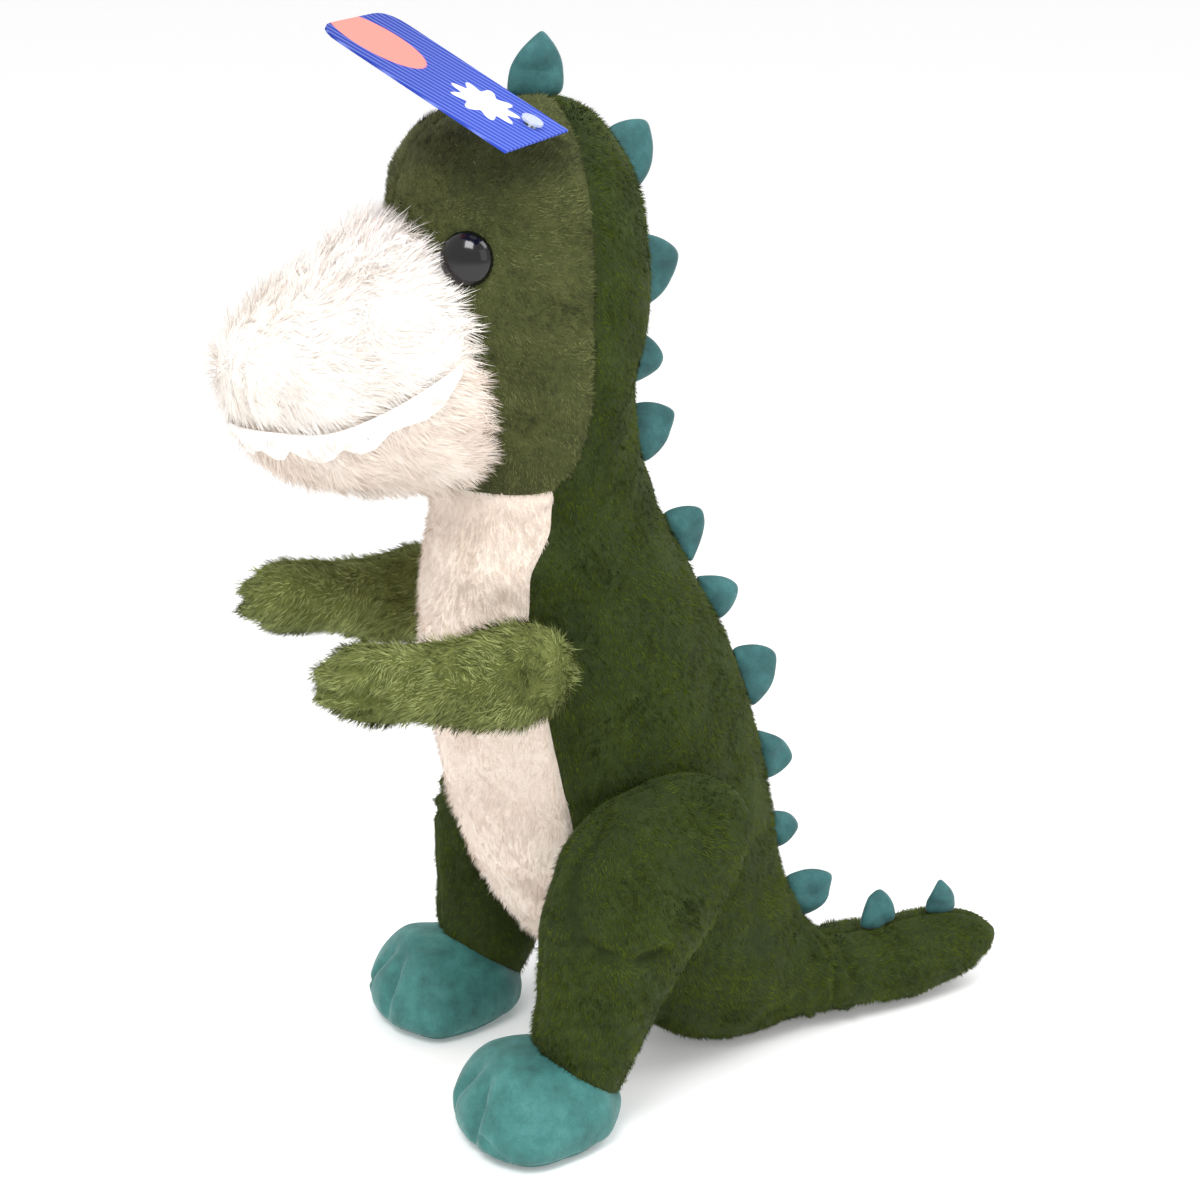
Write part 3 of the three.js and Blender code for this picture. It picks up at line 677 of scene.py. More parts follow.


def pile(name, cloth, body, finishes, slot, length, gap, lean, width, comb, joints=2, seed=1,
         droop=0.25, clump=4 * MM):
    """Short tapered fibres standing on a cloth, leaning the way it is combed.

    The gap is the mean distance between fibres, lean is in radians, joints is how many stretches a
    fibre has, droop is how far its tip sinks as a share of its length, and clump is a tuft's size."""
    rng = np.random.default_rng(seed)
    mesh = cloth.data
    mesh.calc_loop_triangles()
    corners = numbers(mesh.loop_triangles, "vertices").astype(int)
    points, normals = points_of(mesh), normals_of(mesh)
    seams = numbers(mesh.attributes["seam"].data, "value", 1)
    a, b, c = (points[corners[:, i]] for i in range(3))
    area = np.linalg.norm(np.cross(b - a, c - a), axis=1) / 2
    count = int(area.sum() / gap ** 2)
    pick = rng.choice(len(corners), count, p=area / area.sum())
    share = rng.dirichlet((1, 1, 1), count)

    def spread(field):
        return sum(share[:, i, None] * field[corners[pick, i]] for i in range(3))

    root, up = spread(points), spread(normals)
    reach = spread(seams[:, None])[:, 0]
    up /= np.linalg.norm(up, axis=1)[:, None]
    down = comb(root) if callable(comb) else np.broadcast_to(np.array(comb, float), root.shape)
    down = down + np.stack([waves(root, PATCH, seed + k) for k in (11, 12, 13)], axis=1) * 0.45
    down = down + np.stack([waves(root, clump, seed + k) for k in (21, 22, 23)], axis=1) * 0.35
    down -= (down * up).sum(1)[:, None] * up
    down /= np.maximum(np.linalg.norm(down, axis=1), 1e-6)[:, None]
    tilt = lean * (1 + 0.35 * waves(root, PATCH, seed + 31) + 0.25 * rng.normal(size=count))
    tilt = np.clip(tilt, 0.05, 1.45)[:, None]
    way = up * np.cos(tilt) + down * np.sin(tilt) + rng.normal(size=(count, 3)) * 0.10
    way /= np.linalg.norm(way, axis=1)[:, None]
    long = length * rng.uniform(0.65, 1.15, count) * (1 + 0.18 * waves(root, clump, seed + 41))
    long *= np.clip(SEAM_PILE + reach / FULL_PILE, 0, 1)
    side = np.cross(way, up)
    side /= np.maximum(np.linalg.norm(side, axis=1), 1e-6)[:, None]
    roll = rng.uniform(-0.7, 0.7, count)[:, None]
    side = side * np.cos(roll) + np.cross(way, side) * np.sin(roll)
    steps = np.linspace(0, 1, joints + 1)
    levels = []
    for s in steps[:-1]:
        middle = root - up * 0.25 * MM + way * (long * s)[:, None] + down * (long * droop * s * s)[:, None]
        half = side * (width * (1 - 0.75 * s) / 2)
        levels += [middle - half, middle + half]
    levels.append(root + way * long[:, None] + down * (long * droop)[:, None])
    each = len(levels)
    stack = np.stack(levels, axis=1).reshape(-1, 3)
    pattern = []
    for k in range(joints - 1):
        pattern += [(2 * k, 2 * k + 1, 2 * k + 3), (2 * k, 2 * k + 3, 2 * k + 2)]
    pattern.append((2 * joints - 2, 2 * joints - 1, 2 * joints))
    pattern = np.array(pattern)
    faces = (pattern[None] + (np.arange(count) * each)[:, None, None]).reshape(-1, 3)
    made = bpy.data.meshes.new(name)
    made.vertices.add(len(stack))
    made.vertices.foreach_set("co", stack.ravel())
    made.loops.add(faces.size)
    made.loops.foreach_set("vertex_index", faces.ravel())
    made.polygons.add(len(faces))
    made.polygons.foreach_set("loop_start", np.arange(len(faces)) * 3)
    # painted light and shade: each fibre takes one of the finishes from shaded to lit, in patches, in tufts
    # and at random
    painted_light_share = 0.5 + 0.2 * waves(root, PATCH, seed + 51) + 0.16 * waves(root, clump, seed + 52)
    painted_light_share = np.clip(painted_light_share + 0.16 * rng.normal(size=count), 0, 0.999)
    tone_and_painted_light = np.repeat((painted_light_share * len(finishes)).astype(int), len(pattern))
    made.polygons.foreach_set("material_index", tone_and_painted_light)
    made.polygons.foreach_set("use_smooth", [True] * len(faces))
    made.update(calc_edges=True)
    facing = np.repeat(up * 0.85 + way * 0.4, each, axis=0)
    facing /= np.linalg.norm(facing, axis=1)[:, None]
    made.normals_split_custom_set_from_vertices(facing.tolist())
    return finished(object_of(name, made), body, *finishes, slot=slot)


# ------------------------------------------------------------------ finishes of this toy

def make_finishes():
    return {
        # plush colours: a painted shaded tone, the cloth's own, a painted lit tone and a sheen tint; velour
        # colours: a painted shaded tone, its own and a painted lit tone
        "dark": plush("dark_plush", rgb("182208"), rgb("28330f"), rgb("3c481a"), rgb("5c6830")),
        "face": plush("face_plush", rgb("262b14"), rgb("3f4420"), rgb("585c32"), rgb("868a5c")),
        "arm": plush("arm_plush", rgb("3d431c"), rgb("5d6430"), rgb("80884c"), rgb("a5ab74"), 4 * MM),
        "cream": plush("cream_plush", rgb("dfcab8"), rgb("f1e2d4"), rgb("fbf3ea"), rgb("ffffff"), 5 * MM),
        "white": plush("white_plush", rgb("f0e8de"), rgb("fbf7f2"), rgb("ffffff"), rgb("ffffff"), 5 * MM),
        "jaw": plush("jaw_plush", rgb("e3d2c3"), rgb("f5ebe0"), rgb("fdf9f4"), rgb("ffffff"), 5 * MM),
        "teal": velour("teal_velour", rgb("22524f"), rgb("34736f"), rgb("52938e")),
        "fin": velour("fin_velour", rgb("184244"), rgb("295f60"), rgb("43807f")),
        "felt": felt("white_felt", rgb("ffffff"), rgb("e9e5de")),
        "eye": glossy_black("eye_black"),
        "fill": fibre_fill("polyester_fibre"),
        "washer": moulded("washer_plastic", rgb("dcdcd8"), 0.45),
        "clear": moulded("clear_plastic", rgb("dfe6ea"), 0.12, 0.45),
        # the thread's second colour is a painted lit copy of its first; each pile runs from a painted
        # shaded to a painted lit tone, and a pale pile's glow is painted light passed between its fibres
        "thread": spun_thread("joint_thread", rgb("1d2712"), rgb("3c4a24")),
        "dark_pile": strand_set("dark_pile", tones("1e2703", "515f18"), shine=0.1),
        "face_pile": strand_set("face_pile", tones("30341a", "727647")),
        "arm_pile": strand_set("arm_pile", tones("444b1e", "9fa868"), glow=0.02),
        "cream_pile": strand_set("cream_pile", tones("e2cfc0", "f8ece0"), glow=0.1),
        "white_pile": strand_set("white_pile", tones("ece2d8", "fffdfa"), glow=0.14),
        "jaw_pile": strand_set("jaw_pile", tones("e4d3c5", "fbf1e8"), glow=0.1),
    }


# ------------------------------------------------------------------ hide: torso, head and tail

SIDE_PARTS = ("side_panel", "neck_panel", "head_back_panel", "tail_panel")
HIDE = {
    "belly": ["belly_panel", "throat_panel"],
    **{f"side_{side}": [f"{part}_{side}" for part in SIDE_PARTS] for side in SIDES},
    **{f"face_{side}": [f"face_panel_{side}"] for side in SIDES},
}
NECK = Vector(JOINTS["neck_nod"]["pos_m"])
TAIL = Vector(JOINTS["tail_swing"]["pos_m"])
TAIL_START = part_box("tail_panel_left")[0].y
WAIST = 112 * MM        # the side cloth is in two parts, one above and one below this height


def hide_solids():
    solids = [swollen(node, INSET) for node in ("body_stuffing", "head_stuffing", "tail_stuffing")]
    body, head, tail = (solid[0] for solid in solids)
    collar = [p for p in body if p.z > NECK.z - 14 * MM] + [p for p in head if p.z < NECK.z + 14 * MM]
    rump = [p for p in body if p.y > TAIL_START - 36 * MM and p.z < 46 * MM]
    rump += [p for p in tail if p.y < TAIL_START + 16 * MM]
    return solids + [bridge(collar), bridge(rump)]


def between_parts(points):
    """The cloth over the gaps at the neck and at the tail's root."""
    neck = np.abs(points[:, 2] - NECK.z) < 3.5 * MM
    rear = points[:, 1] - TAIL_START
    return neck | ((rear > -22 * MM) & (rear < 1 * MM) & (points[:, 2] < 40 * MM))


def hide_folds(points, normals):
    """Creases round the tail's root, where its cloth turns, and soft lumps everywhere."""
    rear = points[:, 1] - TAIL_START
    near_root = np.exp(-((rear + 6 * MM) / (17 * MM)) ** 2) * (points[:, 2] < 55 * MM)
    turns = (rear + 0.25 * points[:, 2]) / (8.5 * MM)
    ripple = np.sin(2 * math.pi * turns + 1.3 * waves(points, 24 * MM, 5))
    points = points + normals * (0.8 * MM * near_root * ripple)[:, None]
    points = points + normals * (0.5 * MM * waves(points, 30 * MM, 3))[:, None]
    points[:, 2] = np.maximum(points[:, 2], 0.1 * MM)
    return points


FAR = 1                 # metres: further than any panel is


def rounded_cheek(points, distances):
    """Rounds the face's lower rear corner: beyond a quarter ellipse its points go to the side cloth.

    It returns which points are near that corner, where the cloth leaves the CAD's seam."""
    high, deep = 28 * MM, 15 * MM
    moved = np.zeros(len(points), bool)
    rear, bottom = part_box("face_panel_left")[1].y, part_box("face_panel_left")[0].z - 1 * MM
    back = (points[:, 1] - (rear - deep)) / deep
    down = (bottom + high - points[:, 2]) / high
    corner = (back > 0) & (down > 0) & (back < 1.6) & (down < 1.3)
    names = list(HIDE)
    for side in SIDES:
        face, cloth = names.index(f"face_{side}"), names.index(f"side_{side}")
        nearer = distances[:, face] < distances[:, cloth] + 8 * MM
        ours = corner & nearer & (points[:, 0] * (1 if side == "left" else -1) > 0)
        outside = ours & (back ** 2 + down ** 2 > 1)
        distances[outside, face] = FAR
        moved |= ours
    return moved


def head_comb(root):
    """The face's pile runs back from the muzzle and down."""
    away = root - np.array([0, -75, 285]) * MM
    away[:, 2] -= 20 * MM
    away[:, 1] += 10 * MM
    return away / np.linalg.norm(away, axis=1)[:, None]


SHORT_PILE = dict(length=1.8 * MM, gap=0.72 * MM, lean=1.0, width=0.30 * MM)


def build_hide(finish):
    mesh, quads, labels, seams = sewn_skin(hide_solids(), HIDE, 3 * MM, 6 * MM, shape=hide_folds,
                                           loose=between_parts, recut=rounded_cheek)
    above = points_of(mesh)[np.array([q[0] for q in quads]), 2] > WAIST
    nod = ("torso", "head", (0, NECK.y, NECK.z - 16 * MM), (0, NECK.y, NECK.z + 10 * MM))
    wag = ("torso", "tail", (0, TAIL.y - 12 * MM, TAIL.z), (0, TAIL.y + 12 * MM, TAIL.z))
    belly = cut_out("belly_cloth", mesh, quads, labels == 0, seams)
    finished(belly, nod, finish["cream"], slot="cream_plush", replaces=HIDE["belly"], fill=0.8)
    pile("belly_pile", belly, nod, finish["cream_pile"], "cream_plush", length=2.8 * MM, gap=0.8 * MM,
         lean=1.1, width=0.32 * MM, comb=(0, 0.1, -1), seed=1)
    for i, side in enumerate(SIDES):
        dark = labels == 1 + i
        upper = [f"{part}_{side}" for part in SIDE_PARTS[:3]]
        cloths = (
            ("back", nod, "dark", dark & above, upper, (0, 0.15, -1), 3),
            ("rump", wag, "dark", dark & ~above, [f"tail_panel_{side}"], (0, 0.5, -0.8), 5),
            ("face", "head", "face", labels == 3 + i, [f"face_panel_{side}"], head_comb, 7),
        )
        for name, body, kind, chosen, nodes, comb, seed in cloths:
            slot = f"{kind}_plush"
            cloth = cut_out(f"{name}_cloth_{side}", mesh, quads, chosen, seams)
            finished(cloth, body, finish[kind], slot=slot, replaces=nodes, fill=0.85)
            pile(f"{name}_pile_{side}", cloth, body, finish[f"{kind}_pile"], slot, comb=comb, seed=seed + i,
                 **SHORT_PILE)


# ------------------------------------------------------------------ muzzle

MUZZLE = {
    "gusset": ["snout_gusset"],
    "snout_left": ["snout_panel_left"],
    "snout_right": ["snout_panel_right"],
    "jaw": ["jaw_panel"],
}


def muzzle_comb(root):
    """The long pile runs back from the tip and droops."""
    tip = np.array([0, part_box("jaw_panel")[0].y - 10 * MM, 262 * MM])
    away = root - tip
    away /= np.linalg.norm(away, axis=1)[:, None]
    return away + np.array([0, 0, -0.25])


def build_muzzle(finish):
    mesh, quads, labels, seams = sewn_skin([swollen("muzzle_stuffing", INSET)], MUZZLE, 2.6 * MM, 5 * MM)
    for i, (name, nodes) in enumerate(MUZZLE.items()):
        cloth = cut_out(f"{name}_cloth", mesh, quads, labels == i, seams)
        jaw = name == "jaw"
        slot = "cream_plush" if jaw else "white_long_plush"
        finished(cloth, "head", finish["jaw" if jaw else "white"], slot=slot, replaces=nodes, fill=0.75)
        pile(f"{name}_pile", cloth, "head", finish["jaw_pile" if jaw else "white_pile"], slot,
             length=5.5 * MM if jaw else 7 * MM, gap=0.85 * MM, lean=0.95, width=0.36 * MM,
             comb=muzzle_comb, joints=4, seed=20 + i, droop=0.3, clump=6 * MM)


# ------------------------------------------------------------------ arms, legs and feet

def mirrored(mesh):
    """The other side's mesh."""
    twin = mesh.copy()
    points = points_of(twin)
    points[:, 0] *= -1
    twin.vertices.foreach_set("co", points.ravel())
    twin.flip_normals()
    twin.update()
    return twin


def limb_pair(skin, body, cloths):
    """Cuts a left limb's cloths out and mirrors them for the right.

    Each cloth is its name, the CAD node that it stands for, its finish, its slot and its pile."""
    mesh, quads, labels, seams = skin
    twin = mirrored(mesh)
    turned_quads = [list(reversed(q)) for q in quads]
    for i, (name, node, material, slot, strands) in enumerate(cloths):
        left = cut_out(f"{name}_left", mesh, quads, labels == i, seams)
        right = cut_out(f"{name}_right", twin, turned_quads, labels == i, seams)
        for number, (side, cloth) in enumerate(zip(SIDES, (left, right))):
            rider = f"{body}_{side}"
            finished(cloth, rider, material, slot=slot, replaces=[f"{node}_{side}"], fill=0.8)
            if strands:
                pile(f"{name}_pile_{side}", cloth, rider, **{**strands, "seed": strands["seed"] + number})


SHOULDER = Vector(JOINTS["shoulder_left_turn"]["pos_m"])


def arm_folds(points, normals):
    """The shoulder's pull stitch, the fingers' stitches at the tip and two pinches on the paw's side."""
    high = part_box("arm_outer_left")[1]
    dimple = [(high.x, SHOULDER.y, SHOULDER.z), (high.x - 3 * MM, SHOULDER.y, SHOULDER.z)]
    points = pressed(points, normals, dimple, 6 * MM, 3.2 * MM)
    for height, run in ((0.86, 0.05), (0.6, 0.0), (0.36, 0.05)):
        finger = places("arm_outer_left", (0.75, 0.13 + run, height), (0.3, run, height),
                        (-0.4, run, height))
        points = pressed(points, normals, finger, 2.4 * MM, 4 * MM)
    for height in (0.74, 0.56):
        pinch = places("arm_outer_left", (0.97, 0.24, height - 0.05), (0.9, 0.15, height + 0.02))
        points = pressed(points, normals, pinch, 2.8 * MM, 4 * MM)
    return points + normals * (0.5 * MM * waves(points, 16 * MM, 9))[:, None]


def build_arms(finish):
    panels = {"outer": ["arm_outer_left"], "inner": ["arm_inner_left"]}
    solids = [swollen("arm_stuffing_left", INSET)]
    skin = sewn_skin(solids, panels, 2.4 * MM, 4 * MM, slack=0.03, shape=arm_folds)
    strands = dict(finishes=finish["arm_pile"], slot="arm_plush", length=3.4 * MM, gap=0.8 * MM, lean=0.8,
                   width=0.34 * MM, comb=(0, -1, -0.35), joints=3, seed=40)
    limb_pair(skin, "arm", [
        ("arm_outer_cloth", "arm_outer", finish["arm"], "arm_plush", strands),
        ("arm_inner_cloth", "arm_inner", finish["arm"], "arm_plush", {**strands, "seed": 44}),
    ])


def leg_folds(points, normals):
    """The seam in front of the thigh, the crease above the shin and three short folds between them."""
    node = "leg_outer_left"
    ridge = places(node, (0.3, 0.3, 0.94), (0.5, 0.24, 0.88), (0.57, 0.14, 0.8), (0.7, 0.11, 0.68),
                   (0.77, 0.14, 0.59))
    points = pressed(points, normals, ridge, 3.4 * MM, 4.4 * MM)
    knee = places(node, (0.75, 0.12, 0.58), (0.9, 0.22, 0.55), (0.95, 0.35, 0.52), (0.97, 0.5, 0.52))
    points = pressed(points, normals, knee, 3 * MM, 4 * MM)
    for height in (0.74, 0.67, 0.6):
        fold = places(node, (0.36, 0.03, height), (0.68, 0.09, height - 0.04))
        points = pressed(points, normals, fold, 2 * MM, 2.2 * MM)
    return points + normals * (0.6 * MM * waves(points, 22 * MM, 14))[:, None]


def build_legs(finish):
    panels = {"outer": ["leg_outer_left"], "inner": ["leg_inner_left"]}
    solids = [swollen("leg_stuffing_left", INSET)]
    skin = sewn_skin(solids, panels, 2.8 * MM, 6 * MM, slack=0.03, shape=leg_folds)
    strands = dict(finishes=finish["dark_pile"], slot="dark_plush", length=1.9 * MM, gap=0.78 * MM,
                   lean=1.0, width=0.30 * MM, comb=(0, 0.1, -1), seed=50)
    limb_pair(skin, "leg", [
        ("leg_outer_cloth", "leg_outer", finish["dark"], "dark_plush", strands),
        ("leg_inner_cloth", "leg_inner", finish["dark"], "dark_plush", {**strands, "seed": 54}),
    ])


def foot_folds(points, normals):
    """Two toe stitches and the seam of the sole where it turns up at the front."""
    for across in (0.33, 0.66):
        inwards = 0.27 + 0.45 * across
        toe = places("foot_top_left", (across, 0.0, 0.1), (across, 0.04, 0.45), (inwards, 0.2, 0.7))
        points = pressed(points, normals, toe, 2.5 * MM, 3.2 * MM)
    lip = places("foot_top_left", (0.6, 0.0, 0.34), (0.76, 0.05, 0.25), (0.88, 0.16, 0.12))
    points = pressed(points, normals, lip, 1.2 * MM, 1.3 * MM)
    points = points + normals * (0.3 * MM * waves(points, 18 * MM, 19))[:, None]
    points[:, 2] = np.maximum(points[:, 2], 0.1 * MM)
    return points


def build_feet(finish):
    panels = {"top": ["foot_top_left"], "sole": ["sole_left"]}
    skin = sewn_skin([swollen("foot_stuffing_left", INSET)], panels, 2.2 * MM, 3 * MM, shape=foot_folds)
    limb_pair(skin, "leg", [
        ("foot_cloth", "foot_top", finish["teal"], "teal_velour", None),
        ("sole_cloth", "sole", finish["teal"], "teal_velour", None),
    ])


# ------------------------------------------------------------------ fins

def hull_outline(points):
    """The convex outline of flat points, in order."""
    ordered = sorted(map(tuple, np.unique(points.round(5), axis=0)))
    halves = []
    for run in (ordered, ordered[::-1]):
        chain = []
        for p in run:
            while len(chain) > 1:
                (ax, ay), (bx, by) = chain[-2:]
                if (bx - ax) * (p[1] - ay) - (by - ay) * (p[0] - ax) > 0:
                    break
                chain.pop()
            chain.append(p)
        halves += chain[:-1]
    return np.array(halves)


def even_loop(loop, count):
    closed = np.vstack([loop, loop[:1]])
    run = np.concatenate([[0], np.cumsum(np.linalg.norm(np.diff(closed, axis=0), axis=1))])
    places = np.linspace(0, run[-1], count, endpoint=False)
    return np.stack([np.interp(places, run, closed[:, k]) for k in range(2)], axis=1)


FIN_POINTS = 84         # points round a fin's outline
FIN_RINGS = 14          # rings from its edge to its middle
FIN_PUFF = 1.25         # its fullness, as a share of the CAD fin's


def fin_outline(points):
    """A CAD fin's outline, with full sides and a soft tip, and its middle."""
    loop = even_loop(hull_outline(points), FIN_POINTS)
    middle = loop.mean(0)
    spokes = np.linalg.norm(loop - middle, axis=1)
    filled = spokes + 0.5 * np.maximum(0.9 * spokes.max() - spokes, 0)
    loop = middle + (loop - middle) * (1.1 * filled / spokes)[:, None]
    for _ in range(22):
        loop += 0.5 * ((np.roll(loop, 1, 0) + np.roll(loop, -1, 0)) / 2 - loop)
    return loop, middle


def fin_mesh(node, lean, curl, seed):
    """A puffed fin: two velour faces sewn along the outline, fullest in the middle."""
    points = points_of(frame["nodes"][node].data)
    loop, middle = fin_outline(points[:, 1:])
    half = np.abs(points[:, 0]).max() * FIN_PUFF
    spots, faces = [], []
    for face in (1, -1):
        first = len(spots)
        for ring in range(FIN_RINGS):
            share = 1 - ring / FIN_RINGS
            out = face * half * (1 - share ** 2.4) ** 0.6
            spots += [(out, y, z) for y, z in middle + (loop - middle) * share]
        spots.append((face * half, *middle))
        for i in range(FIN_POINTS):
            j = (i + 1) % FIN_POINTS
            for ring in range(first, first + (FIN_RINGS - 1) * FIN_POINTS, FIN_POINTS):
                faces.append([ring + i, ring + j, ring + FIN_POINTS + j, ring + FIN_POINTS + i][::face])
            last = first + (FIN_RINGS - 1) * FIN_POINTS
            faces.append([last + i, last + j, last + FIN_POINTS][::face])
    spots = np.array(spots)
    from_middle = np.linalg.norm(spots[:, 1:] - middle, axis=1)
    reach = from_middle.max()
    outward = loop[np.linalg.norm(loop - middle, axis=1).argmax()] - middle
    rise = np.clip(((spots[:, 1:] - middle) @ outward) / reach ** 2, 0, 1)
    spots[:, 0] += lean * rise ** 1.4 + curl * np.sin(math.pi * rise)
    wobble = waves(spots, 11 * MM, seed)
    spots[:, 0] += 0.5 * MM * wobble * (1 - from_middle / reach)
    return welded(node, spots, faces, 0.02 * MM)


FIN_LEANS = {  # millimetres that a fin's tip leans and its middle bows, towards its left
    "head_fin": [(2, 1), (-3, 1), (1, 1), (-4, -1), (2, 1)],
    "back_fin": [(2, -1), (-2, 1), (1, 1), (-2, 1), (2, 0), (-4, 2)],
    "tail_fin": [(2, 1), (-2, 1)],
}
FIN_BODIES = {"head_fin": "head", "back_fin": "torso", "tail_fin": "tail"}


def build_fins(finish):
    for kind, leans in FIN_LEANS.items():
        for i, (lean, curl) in enumerate(leans):
            node = f"{kind}_{i + 1}"
            fin = object_of(f"{kind}_cloth_{i + 1}", fin_mesh(node, lean * MM, curl * MM, 60 + i))
            finished(fin, FIN_BODIES[kind], finish["fin"], slot="teal_velour", replaces=[node], fill=0.6)


# ------------------------------------------------------------------ eyes, tag and the parts inside

def axis_of(node):
    """The middle of a turned CAD piece and the axis that it is turned about."""
    points = points_of(frame["nodes"][node].data)
    middle = (points.min(0) + points.max(0)) / 2
    _, _, ways = np.linalg.svd(points - points.mean(0), full_matrices=False)
    return middle, ways


def dome_profile(radius, back, tip):
    """A safety eye's half section as radius and height: shank, flat back, thin rim and dome."""
    rise = radius * 0.66
    edge = tip - rise
    shank = radius / 4
    under = edge - 0.6 * MM
    foot = [(0.0, back), (shank, back), (shank, under), (radius * 0.9, under)]
    rim = [(radius * 0.985, edge - 0.2 * MM)]
    dome = [(radius * math.cos(a), edge + rise * math.sin(a)) for a in np.linspace(0, math.pi / 2, 20)]
    return foot + rim + dome


def turned(name, profile, origin, out, count=56):
    """A profile turned about the axis that leaves origin along out."""
    first = np.cross(out, (0, 0, 1))
    first /= np.linalg.norm(first)
    second = np.cross(out, first)
    spots, faces = [], []
    for radius, height in profile:
        for k in range(count):
            a = 2 * math.pi * k / count
            spots.append(origin + out * height + radius * (first * math.cos(a) + second * math.sin(a)))
    for ring in range(0, (len(profile) - 1) * count, count):
        for k in range(count):
            n = (k + 1) % count
            faces.append([ring + k, ring + n, ring + count + n, ring + count + k])
    return welded(name, spots, faces, 0.005 * MM, outwards=True)


def build_eyes(finish):
    for side, sign in zip(SIDES, (1, -1)):
        out = axis_of(f"eye_washer_{side}")[1][2]
        out = out * np.sign(out[0] * sign)
        points = points_of(frame["nodes"][f"eye_{side}"].data)
        washer = points_of(frame["nodes"][f"eye_washer_{side}"].data).mean(0)
        depth = (points - washer) @ out
        radius = np.linalg.norm(points - washer - depth[:, None] * out, axis=1).max()
        name = f"glossy_eye_{side}"
        mesh = turned(name, dome_profile(radius, depth.min(), depth.max()), washer, out)
        finished(object_of(name, mesh), "head", finish["eye"], slot="eye_black", replaces=[f"eye_{side}"])


STRIPE = 2.6 * MM       # from one pale stripe of the card to the next
BURST = 0.16            # how far below the card's middle the burst is, as a share of the card's length
PATCH_UP = 0.33         # and how far above it the coral patch is


def printed_card():
    """Deep blue board with fine pale stripes, a coral rounded patch and a plain white burst."""
    f = Finish("tag_board")
    points = points_of(frame["nodes"]["tag_card"].data)
    middle, ways = axis_of("tag_card")
    up = ways[0] * np.sign(ways[0][2])
    length = ((points - middle) @ up).max() * 2
    v = f.along(tuple(up), tuple(middle)) / length
    u = f.along(tuple(ways[1]), tuple(middle)) / length
    stripe = ((u * (length / STRIPE) * 2 * math.pi).sine() * 0.5 + 0.5).power(3)
    striped = f.mix(stripe * 0.9, rgb("24399a"), rgb("8fa2e6"))
    faded = f.mix((v + 0.5).smooth(0.0, 1.1), rgb("3550c4"), rgb("1d2f86"))
    ground = f.mix(0.5, striped, faded)
    oval = (v - PATCH_UP) * (v - PATCH_UP) * 8 + u * u * 16
    coloured = f.mix(1 - oval.smooth(0.36, 0.4), ground, rgb("f08a80"))
    ring = ((v + BURST) * (v + BURST) + u * u).power(0.5)
    turn = f.node("ShaderNodeMath", {"operation": "ARCTAN2"}, {0: v + BURST, 1: u})
    spikes = (turn * 9).sine() * 0.025 + 0.125
    printed = f.mix((spikes - ring).smooth(-0.006, 0.006), coloured, rgb("f4f4f8"))
    fleck = f.noise(3 * MM, 3)
    return f.surface(Base_Color=printed, Roughness=0.5 + 0.1 * fleck, Specular_IOR_Level=0.12,
                     Normal=f.bump(fleck, 0.1 * MM, 0.2))


def repaint(node, material):
    """Puts a finish on a CAD node that stays."""
    mesh = frame["nodes"][node].data
    mesh.materials.clear()
    mesh.materials.append(material)


def build_cores(finish):
    """The fibre stuffing of each part, as a soft lumpy body under its cloth."""
    bodies = {"body_stuffing": "torso", "head_stuffing": "head", "muzzle_stuffing": "head",
              "tail_stuffing": "tail"}
    for side in SIDES:
        for part, limb in (("arm", "arm"), ("leg", "leg"), ("foot", "leg")):
            bodies[f"{part}_stuffing_{side}"] = f"{limb}_{side}"
    for i, (node, body) in enumerate(bodies.items()):
        mesh = blank([swollen(node, -0.9 * MM)], 3.6 * MM, rounds=3)
        lumps = 0.5 * MM * waves(points_of(mesh), 12 * MM, i)
        move_points(mesh, points_of(mesh) + normals_of(mesh) * lumps[:, None])
        mesh.polygons.foreach_set("use_smooth", [True] * len(mesh.polygons))
        core = object_of("fibre_" + node.replace("_stuffing", ""), mesh)
        finished(core, body, finish["fill"], slot="polyester_fibre", replaces=[node], fill=0.9)


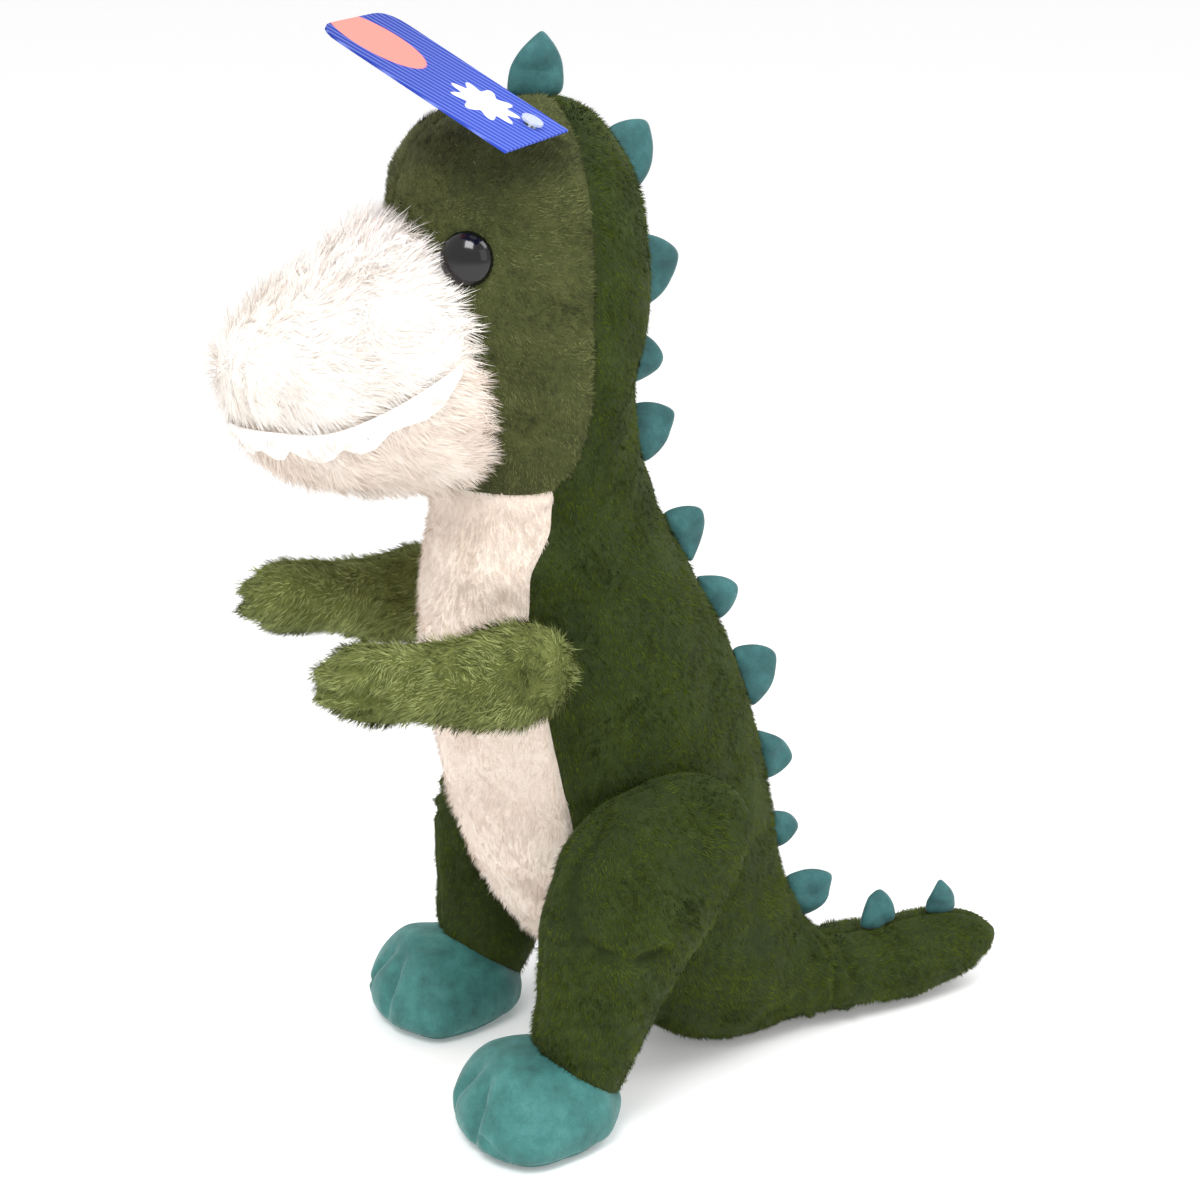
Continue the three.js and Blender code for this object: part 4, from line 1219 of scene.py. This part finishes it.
def build_small_parts(finish):
    for side in SIDES:
        repaint(f"eye_washer_{side}", finish["washer"])
        repaint(f"shoulder_thread_{side}", finish["thread"])
    repaint("tag_card", printed_card())
    repaint("tag_loop", finish["clear"])
    repaint("teeth_strip", finish["felt"])


# ------------------------------------------------------------------ floor and light

FLOOR = 6               # metres from the toy to the floor's edge
LAMPS = {               # where each lamp is, how wide it is and its watts
    "key": ((0.85, -0.7, 1.5), 0.7, 18),
    "fill": ((1.3, 0.5, 0.7), 0.9, 2),
    "back": ((0.5, 0.9, 1.5), 0.8, 9),
}
LIT_AT = Vector((0, 0, 0.17))


def build_floor():
    corners = [(-FLOOR, -FLOOR, 0), (FLOOR, -FLOOR, 0), (FLOOR, FLOOR, 0), (-FLOOR, FLOOR, 0)]
    mesh = mesh_of("floor", corners, [[0, 1, 2, 3]])
    f = Finish("floor")
    paper = f.mix(f.noise(40 * MM, 3), rgb("f6f6f6"), rgb("fbfbfb"))
    mesh.materials.append(f.surface(Base_Color=paper, Roughness=0.6, Specular_IOR_Level=0.2,
                                    Emission_Color=rgb("ffffff"), Emission_Strength=0.16))
    floor = object_of("floor", mesh)
    floor.location.z = -0.2 * MM


def build_light():
    world = bpy.data.worlds.new("studio")
    bpy.context.scene.world = world
    world.use_nodes = True
    sky = world.node_tree.nodes["Background"].inputs
    sky["Color"].default_value = (1, 1, 1, 1)
    sky["Strength"].default_value = 0.86
    for name, (place, size, power) in LAMPS.items():
        data = bpy.data.lights.new(name, "AREA")
        data.size = size
        data.energy = power
        lamp = bpy.data.objects.new(name, data)
        lamp.location = place
        lamp.rotation_euler = (LIT_AT - Vector(place)).to_track_quat("-Z", "Y").to_euler()
        bpy.context.scene.collection.objects.link(lamp)


# ------------------------------------------------------------------ the toy

def build_all():
    build_camera()
    finish = make_finishes()
    build_hide(finish)
    build_muzzle(finish)
    build_arms(finish)
    build_legs(finish)
    build_feet(finish)
    build_fins(finish)
    build_eyes(finish)
    build_small_parts(finish)
    build_cores(finish)
    build_floor()
    build_light()
    bpy.context.scene.view_settings.view_transform = "Standard"


build_all()
